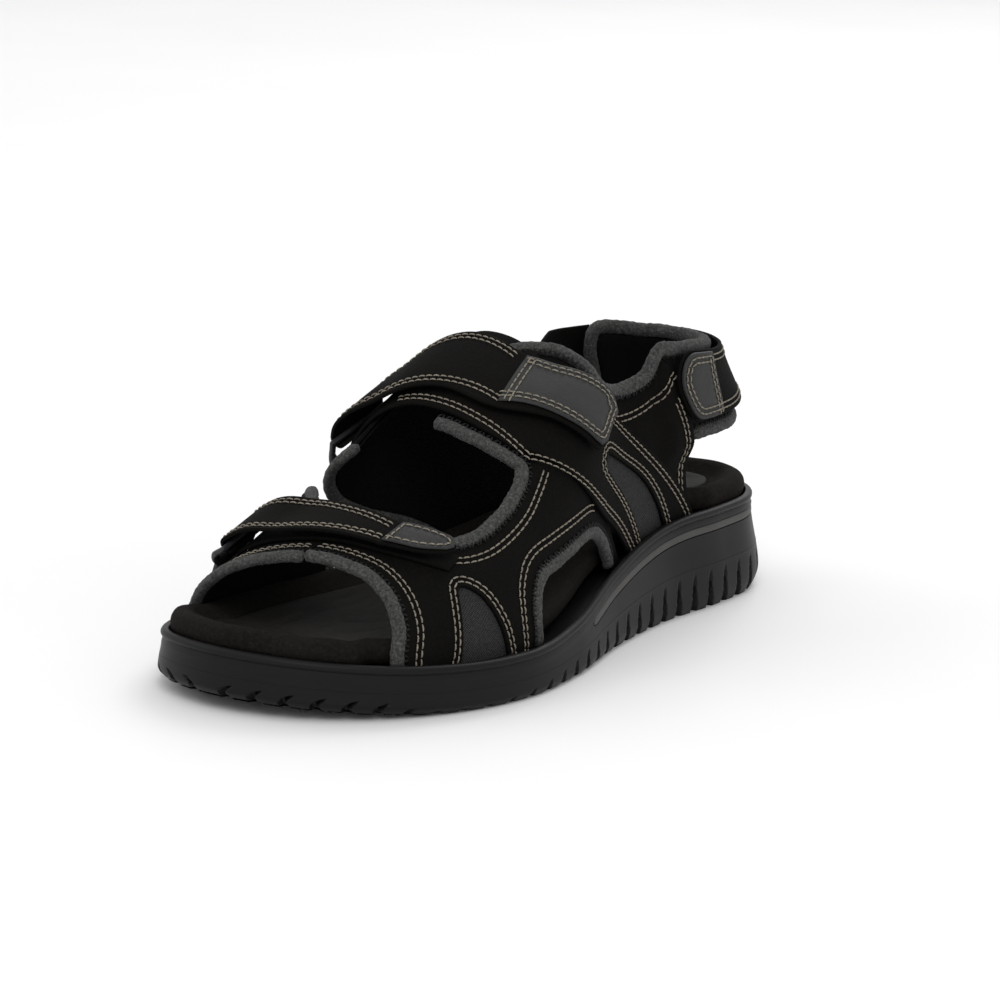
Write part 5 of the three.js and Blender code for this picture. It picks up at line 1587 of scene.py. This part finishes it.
# ---- User settings ---------------------------------------------------------------------------
class SandalSizes(bpy.types.PropertyGroup):
    """Sizes of the fine detail."""

    stitch_pitch: bpy.props.FloatProperty(
        name="Stitch pitch", description="Distance from one stitch to the next", default=0.00285,
        min=0.001, max=0.01, unit="LENGTH")
    stitch_length: bpy.props.FloatProperty(
        name="Stitch length", description="Length of the thread that shows", default=0.0024,
        min=0.0005, max=0.01, unit="LENGTH")
    thread_width: bpy.props.FloatProperty(
        name="Thread width", description="Width of the thread", default=0.0006,
        min=0.0002, max=0.002, unit="LENGTH")
    tape_half_width: bpy.props.FloatProperty(
        name="Tape half width", description="Half the width of the edge tape", default=0.0025,
        min=0.001, max=0.005, unit="LENGTH")
    tape_half_height: bpy.props.FloatProperty(
        name="Tape half height", description="Half the thickness of the edge tape", default=0.0019,
        min=0.001, max=0.004, unit="LENGTH")
    camera_azimuth: bpy.props.FloatProperty(
        name="Camera azimuth", description="Angle of the view round the sandal", default=math.radians(34.98),
        subtype="ANGLE")
    camera_elevation: bpy.props.FloatProperty(
        name="Camera elevation", description="Angle of the view above the ground",
        default=math.radians(12.77), subtype="ANGLE")
    camera_roll: bpy.props.FloatProperty(
        name="Camera roll", description="Turn of the view about its own line", default=math.radians(2.42),
        subtype="ANGLE")
    camera_distance: bpy.props.FloatProperty(
        name="Camera distance", description="Distance from the camera to the sandal", default=1.402,
        min=0.3, max=5.0, unit="LENGTH")


def colour_property(label, words, red, green, blue):
    """A colour setting from display values."""
    return bpy.props.FloatVectorProperty(
        name=label, description=words, default=tone(red, green, blue)[:3], size=3, subtype="COLOR",
        min=0, max=1)


class SandalColours(bpy.types.PropertyGroup):
    """Colours of the finishes."""

    nubuck: colour_property("Nubuck", "Brown-black nubuck leather", 10, 9, 8)
    suede: colour_property("Suede", "Footbed cover", 22, 20, 18)
    sock: colour_property("Sock", "Pressed sock panel", 24, 22, 20)
    tab: colour_property("Tab leather", "Smooth grey strap ends", 46, 47, 46)
    binding: colour_property("Edge tape", "Grey melange edge tape", 64, 64, 63)
    fin: colour_property("Window textile", "Ribbed textile in the windows", 45, 45, 45)
    lining: colour_property("Lining", "Black lining textile", 14, 14, 14)
    sole: colour_property("Sole", "Moulded sole", 17, 17, 18)
    stripe: colour_property("Stripe", "Inlaid stripe", 66, 65, 63)
    ring: colour_property("Ring", "Moulded ring", 36, 36, 38)
    plate: colour_property("Ring plate", "Raised plate of the ring", 52, 52, 54)
    thread: colour_property("Pale thread", "Seam thread", 128, 121, 109)
    dark_thread: colour_property("Dark thread", "Thread that holds the edge tape", 16, 16, 16)


def report_in(operator, words):
    """Say what was made."""
    operator.report({"INFO"}, words)
    return {"FINISHED"}


class SANDAL_OT_finishes(bpy.types.Operator):
    """Make the finishes"""

    bl_idname = "sandal.finishes"
    bl_label = "Finishes"

    def execute(self, context):
        FINISHES.update(make_finishes())
        return report_in(self, "Finishes made")


class SANDAL_OT_sole(bpy.types.Operator):
    """Make the tread, the midsole and its stripe"""

    bl_idname = "sandal.sole"
    bl_label = "Sole"

    def execute(self, context):
        points, faces = make_outsole()
        make_object("outsole_visual", points, faces, FINISHES["moulded_sole"], "sandal",
                    ["outsole"], angle=38)
        points, faces = make_midsole()
        make_object("midsole_visual", points, faces, FINISHES["moulded_sole"], "sandal",
                    ["midsole"], angle=45)
        points, faces, _ = make_stripe()
        make_object("side_stripe_visual", points, faces, FINISHES["stripe"], "sandal",
                    ["side_stripe"], angle=50)
        return report_in(self, "Sole made")


class SANDAL_OT_footbed(bpy.types.Operator):
    """Make the footbed's suede cover and the sock panel"""

    bl_idname = "sandal.footbed"
    bl_label = "Footbed"

    def execute(self, context):
        points, faces = make_footbed()
        cover = make_object("footbed_cover_visual", points, faces, FINISHES["suede"], "sandal",
                            ["footbed_cover", "footbed_foam"], angle=60)
        points, faces, uv = make_sock()
        make_object("sock_panel_visual", points, faces, FINISHES["pressed_suede"], "sandal",
                    ["sock_panel"], uv, angle=60)
        return report_in(self, "Footbed made")


class SANDAL_OT_uppers(bpy.types.Operator):
    """Make the leather of the upper"""

    bl_idname = "sandal.uppers"
    bl_label = "Uppers"

    def execute(self, context):
        for name, (loops, place, layer, seams) in fixed_leather().items():
            make_sheet(name, loops, place, layer, "nubuck", "sandal", seams)
        return report_in(self, "Uppers made")


class SANDAL_OT_straps(bpy.types.Operator):
    """Make the straps that open, with their tabs"""

    bl_idname = "sandal.straps"
    bl_label = "Straps"

    def execute(self, context):
        for name, (loops, place, layer, body, slot, seams) in moving_leather().items():
            tab = slot == "tab_leather"
            make_sheet(name, loops, place, layer, "smooth_leather" if tab else "nubuck", body, seams,
                       cell=1.9, bevel=0.4)
        return report_in(self, "Straps made")


class SANDAL_OT_linings(bpy.types.Operator):
    """Make the linings and the textile in the windows"""

    bl_idname = "sandal.linings"
    bl_label = "Linings and windows"

    def execute(self, context):
        linings = {
            "lateral_vamp_lining": (outer_vamp(), OUT), "lateral_quarter_lining": (lining_quarter(), OUT),
            "medial_vamp_lining": (inner_vamp(), IN), "medial_quarter_lining": (inner_quarter(), IN),
        }
        for name, (loop, place) in linings.items():
            make_sheet(name, [loop], place, LINING, "black_textile", "sandal",
                       cell=3.2, bevel=0.2)
        windows = {
            "front_fin_insert": (outlined(FRONT_FIN), OUT, SHELL[0]),
            "rear_fin_insert": (rear_window(), OVER_FOOT, OVER[0]),
            "medial_fin_insert": (outlined(INNER_FIN_LOW, INNER_FIN_HIGH), IN, SHELL[0]),
        }
        for name, (loop, place, leather) in windows.items():
            layer = (leather - WINDOW_BEHIND - WINDOW_TEXTILE, leather - WINDOW_BEHIND)
            make_sheet(name, [grown(loop, WINDOW_LAP)], place, layer, "ribbed_textile", "sandal",
                       cell=2.0, bevel=0.1)
        return report_in(self, "Linings made")


class SANDAL_OT_heel_band(bpy.types.Operator):
    """Make the padded heel band"""

    bl_idname = "sandal.heel_band"
    bl_label = "Heel band"

    def execute(self, context):
        low, high, left, right = HEEL_BAND_LOW, HEEL_BAND_HIGH, HEEL_BAND_LEFT, HEEL_BAND_RIGHT
        corner = [(left + 8, high), (left + 3, high - 0.9), (left + 0.9, high - 3), (left, high - 8)]
        foot = [(left, low + 8), (left + 0.9, low + 3), (left + 3, low + 0.9), (left + 8, low)]
        loop = outlined([(right, low), (right, high)], corner, foot)
        band = make_sheet("heel_band", [loop], ROUND_HEEL, HEEL_PAD, "black_textile", "sandal",
                          cell=2.0, bevel=1.4, crown=0.7)
        return report_in(self, "Heel band made")


BIND_AWAY = sum(SHELL) / 2
WINDOW_LAP = 2.6
WINDOW_BEHIND = 0.1
WINDOW_TEXTILE = 0.4
TAPE_LAP = 0.45
TAPE_SHIFT = EDGE_CLEARANCE - TAPE_LAP


def tape_runs():
    """Every edge tape: its run, its placer, its middle layer, and the side its leather is on."""
    def between(side, edge, foot):
        return [foot] + edge[1:-1] + [from_ridge(side, edge[-1][0], 0.4)]

    collar = shifted(OUTER_COLLAR, EDGE_CLEARANCE, 4.0)
    collar = [(HEEL_STATION - c, up) for c, up in collar]
    collar = [p for p in collar if p[0] > 100]
    low, high, left, right = HEEL_BAND_LOW, HEEL_BAND_HIGH, HEEL_BAND_LEFT, HEEL_BAND_RIGHT
    off = EDGE_CLEARANCE + 0.2
    band = collar + [
        (91.5, high + off + 0.4), (86, high + off), (50, high + off), (10, high + off), (-25, high + off),
        (left + 7, high + off), (left + 0.6, high + 0.6), (left - off, high - 6), (left - off, low + 6),
        (left + 0.6, low - 0.6), (left + 7, low - off), (-20, low - off), (20, low - off), (60, low - off),
        (right - 14, low - off)]
    return {
        "toe_binding_lateral": (
            shifted(between(1, OUTER_TOE_EDGE, (-108.3, 2.4)), TAPE_SHIFT), OUT, BIND_AWAY, -1),
        "toe_binding_medial": (
            shifted(between(-1, INNER_TOE_EDGE, (-110.3, 2.8)), TAPE_SHIFT), IN, BIND_AWAY, -1),
        "arch_binding_lateral": (
            shifted([(-48.4, 2.6)] + OUTER_ARCH_EDGE[1:-1] + [(22.8, 3.6)], -TAPE_SHIFT), OUT, BIND_AWAY, 1),
        "instep_binding_lateral": (
            shifted(OUTER_INSTEP_EDGE[1:] + [(-31.6, 60), (-33.5, 66), (-35.8, 78), from_ridge(1, -36.2, 4)],
                    TAPE_SHIFT), OUT, BIND_AWAY, -1),
        "instep_binding_medial": (
            shifted(INNER_VAMP_REAR[1:-1] + [(-36.2, 2.8)], TAPE_SHIFT), IN, BIND_AWAY, -1),
        "quarter_binding_medial": (
            shifted([(14.6, 4)] + INNER_QUARTER_FRONT[1:], TAPE_SHIFT), IN, BIND_AWAY, -1),
        "collar_binding": (np.array(band), ROUND_HEEL, (HEEL_PAD[0] + HEEL_PAD[1]) / 2, 1),
        "medial_collar_binding": (
            shifted([(-11, 80)] + INNER_COLLAR_EDGE[1:6], TAPE_SHIFT), IN, BIND_AWAY, -1),
    }


class SANDAL_OT_edge_tapes(bpy.types.Operator):
    """Make the edge tapes and the dark zigzag that holds them"""

    bl_idname = "sandal.edge_tapes"
    bl_label = "Edge tapes"

    def execute(self, context):
        sizes = context.scene.sandal_sizes
        wide, high = sizes.tape_half_width / MM, sizes.tape_half_height / MM
        zigzag = {"pitch": 1.7, "length": 0.9, "width": 0.75, "bow": 0.35, "dip": 0.1}
        for name, (run, place, away, side) in tape_runs().items():
            collar = name == "collar_binding"
            points, faces, uv = tube(run, place, away, wide + 0.2 * collar, high + 0.2 * collar)
            make_object(name + "_visual", points, faces, FINISHES["melange_tape"], "sandal", [name], uv,
                        angle=70)
            rows = [stitch_row(run, place, away + 1.05, side * (wide - 0.1), zigzag, zigzag=1.0)]
            make_stitches(name + "_zigzag", rows, FINISHES["dark_thread"], "sandal")
        return report_in(self, "Edge tapes made")


class SANDAL_OT_rings(bpy.types.Operator):
    """Make the rings that the straps turn round, and their raised plates"""

    bl_idname = "sandal.rings"
    bl_label = "Rings"

    def execute(self, context):
        half = RING_THICKNESS / 2
        widths = (("toe", TOE_BAR, 24.0), ("instep", INSTEP_BAR, 18 * INSTEP_BAR.per_station))
        for name, bar, width in widths:
            flat, faces, drop = rounded_plan(ring_loops(width), RING_ROUNDING)
            raised = RING_RISE * smoothstep(flat[:, 1], 3.6, 6.0)
            top, bottom = (bar.ring(*flat.T, depth) for depth in (half - drop + raised, drop - half))
            points, every, uv = two_faced(flat, faces, top, bottom)
            make_object(name + "_ring_visual", points, every, FINISHES["ring_plastic"], "sandal",
                        [name + "_ring"], uv, angle=55)
            w = width / 2 - PLATE_MARGIN
            plate = outlined([(w, 10.3)], half_moon(w, 10.3, 17.8)[1:-1], [(-w, 10.3)], spacing=RING_SPACING)
            flat, faces, drop = rounded_plan([plate], PLATE_ROUNDING)
            top, bottom = (bar.ring(*flat.T, depth) for depth in (half + PLATE_RISE - drop, -half))
            points, every, uv = two_faced(flat, faces, top, bottom)
            make_object(name + "_ring_plate_visual", points, every, FINISHES["ring_plate"], "sandal",
                        [name + "_ring_plate"], uv, angle=55)
        return report_in(self, "Rings made")


class SANDAL_OT_patches(bpy.types.Operator):
    """Make the hook tapes and loop patches"""

    bl_idname = "sandal.patches"
    bl_label = "Hook and loop patches"

    def execute(self, context):
        low, high, last = HEEL_STRAP_LOW, HEEL_STRAP_HIGH, HEEL_STRAP_END
        pieces = {
            "toe_loop_patch": ([[(-96, -6), (-93, 8), (-88.5, 20)], [(-79, 31)],
                                [(-81, 22), (-81.5, 8), (-80, -6)]], OVER_FOOT, LOOP, "sandal"),
            "instep_loop_patch": ([[(-30.5, -8), (-29.5, 10), (-28.5, 24), (-17, 44), (-7, 57)],
                                   [(5, 50), (-6, 37), (-18, 22), (-18, -8)]], OVER_FOOT, LOOP, "sandal"),
            "heel_loop_patch": ([[(-24, low + 2), (last - 9, low + 2)],
                                 [(last - 9, high - 4), (-24, high - 4)]], ROUND_HEEL, HEEL_LOOP, "sandal"),
            "toe_hook_patch": ([[(-92.5, 10), (-90, 19), (-84, 27)], [(-77, 32)],
                                [(-78.5, 26), (-80.5, 18), (-80.5, 10)]], TOE_BAR.strap, HOOK, "toe_flap"),
            "instep_hook_patch": ([[(-28.5, 24), (-17, 44), (-7, 57)], [(5, 50), (-6, 37), (-17.5, 23)]],
                                  INSTEP_BAR.strap, HOOK, "instep_flap"),
            "heel_hook_patch": ([[(last - 39, low + 2.5), (last - 11, low + 2.5)], [(last - 6, 54)],
                                 [(last - 11, high - 4.5), (last - 39, high - 4.5)]],
                                ROUND_HEEL, HEEL_HOOK, "heel_flap"),
        }
        for name, (runs, place, layer, body) in pieces.items():
            make_sheet(name, [outlined(*runs)], place, layer, "loop_pile", body, cell=2.2, bevel=0.2)
        return report_in(self, "Patches made")


class SANDAL_OT_stage(bpy.types.Operator):
    """Make the floor, the lights and the camera"""

    bl_idname = "sandal.stage"
    bl_label = "Stage"

    def execute(self, context):
        deselect()
        bpy.ops.mesh.primitive_plane_add(size=14.0, location=(0, 0, 0))
        floor = context.object
        floor.name = "floor"
        floor.data.materials.append(FINISHES["floor"])
        world = bpy.data.worlds.new("studio")
        world.use_nodes = True
        world.node_tree.nodes["Background"].inputs["Color"].default_value = (1, 1, 1, 1)
        world.node_tree.nodes["Background"].inputs["Strength"].default_value = 0.8
        context.scene.world = world
        lamps = [
            ("key", (1.1, -1.5, 1.9), 20, 1.2), ("fill", (-1.6, -1.0, 1.3), 7, 1.6),
            ("back", (-0.4, 1.9, 1.7), 18, 1.4),
        ]
        for name, place, power, size in lamps:
            deselect()
            bpy.ops.object.light_add(type="AREA", location=place)
            lamp = context.object
            lamp.name = name
            lamp.data.energy = power
            lamp.data.size = size
            lamp.rotation_euler = (Vector((0, 0, 0.05)) - Vector(place)).to_track_quat("-Z", "Y").to_euler()
        sizes = context.scene.sandal_sizes
        flat = math.cos(sizes.camera_elevation)
        away = Vector((math.sin(sizes.camera_azimuth) * flat, -math.cos(sizes.camera_azimuth) * flat,
                       math.sin(sizes.camera_elevation)))
        target = Vector((0.0, 0.0, 0.048))
        deselect()
        bpy.ops.object.camera_add(location=target + away * sizes.camera_distance)
        camera = context.object
        level = away.to_track_quat("Z", "Y")
        camera.rotation_euler = (level @ Quaternion((0, 0, 1), sizes.camera_roll)).to_euler()
        camera.data.lens = 146.0
        camera.data.sensor_width = 36.0
        context.scene.camera = camera
        context.scene.view_settings.view_transform = "Standard"
        deselect()
        return report_in(self, "Stage made")


OPERATORS = (
    SANDAL_OT_finishes, SANDAL_OT_stage, SANDAL_OT_sole, SANDAL_OT_footbed, SANDAL_OT_uppers,
    SANDAL_OT_linings, SANDAL_OT_heel_band, SANDAL_OT_edge_tapes, SANDAL_OT_rings, SANDAL_OT_straps,
    SANDAL_OT_patches,
)


class SANDAL_PT_panel(bpy.types.Panel):
    """Sandal tools in the sidebar"""

    bl_idname = "SANDAL_PT_panel"
    bl_label = "Strappy Sport Sandal"
    bl_space_type = "VIEW_3D"
    bl_region_type = "UI"
    bl_category = "Sandal"

    def draw(self, context):
        layout = self.layout
        for group in (context.scene.sandal_sizes, context.scene.sandal_colours):
            for name in group.bl_rna.properties.keys():
                if name not in ("rna_type", "name"):
                    layout.prop(group, name)
        for operator in OPERATORS:
            layout.operator(operator.bl_idname)


def register():
    """Add the settings, the operators and the panel."""
    for made in (SandalSizes, SandalColours, *OPERATORS, SANDAL_PT_panel):
        bpy.utils.register_class(made)
    bpy.types.Scene.sandal_sizes = bpy.props.PointerProperty(type=SandalSizes)
    bpy.types.Scene.sandal_colours = bpy.props.PointerProperty(type=SandalColours)


def unregister():
    """Take them away again."""
    del bpy.types.Scene.sandal_colours
    del bpy.types.Scene.sandal_sizes
    for made in (SANDAL_PT_panel, *reversed(OPERATORS), SandalColours, SandalSizes):
        bpy.utils.unregister_class(made)


def main():
    """Build the sandal."""
    register()
    for operator in OPERATORS:
        getattr(bpy.ops.sandal, operator.bl_idname.split(".")[1])()


if __name__ == "__main__":
    main()
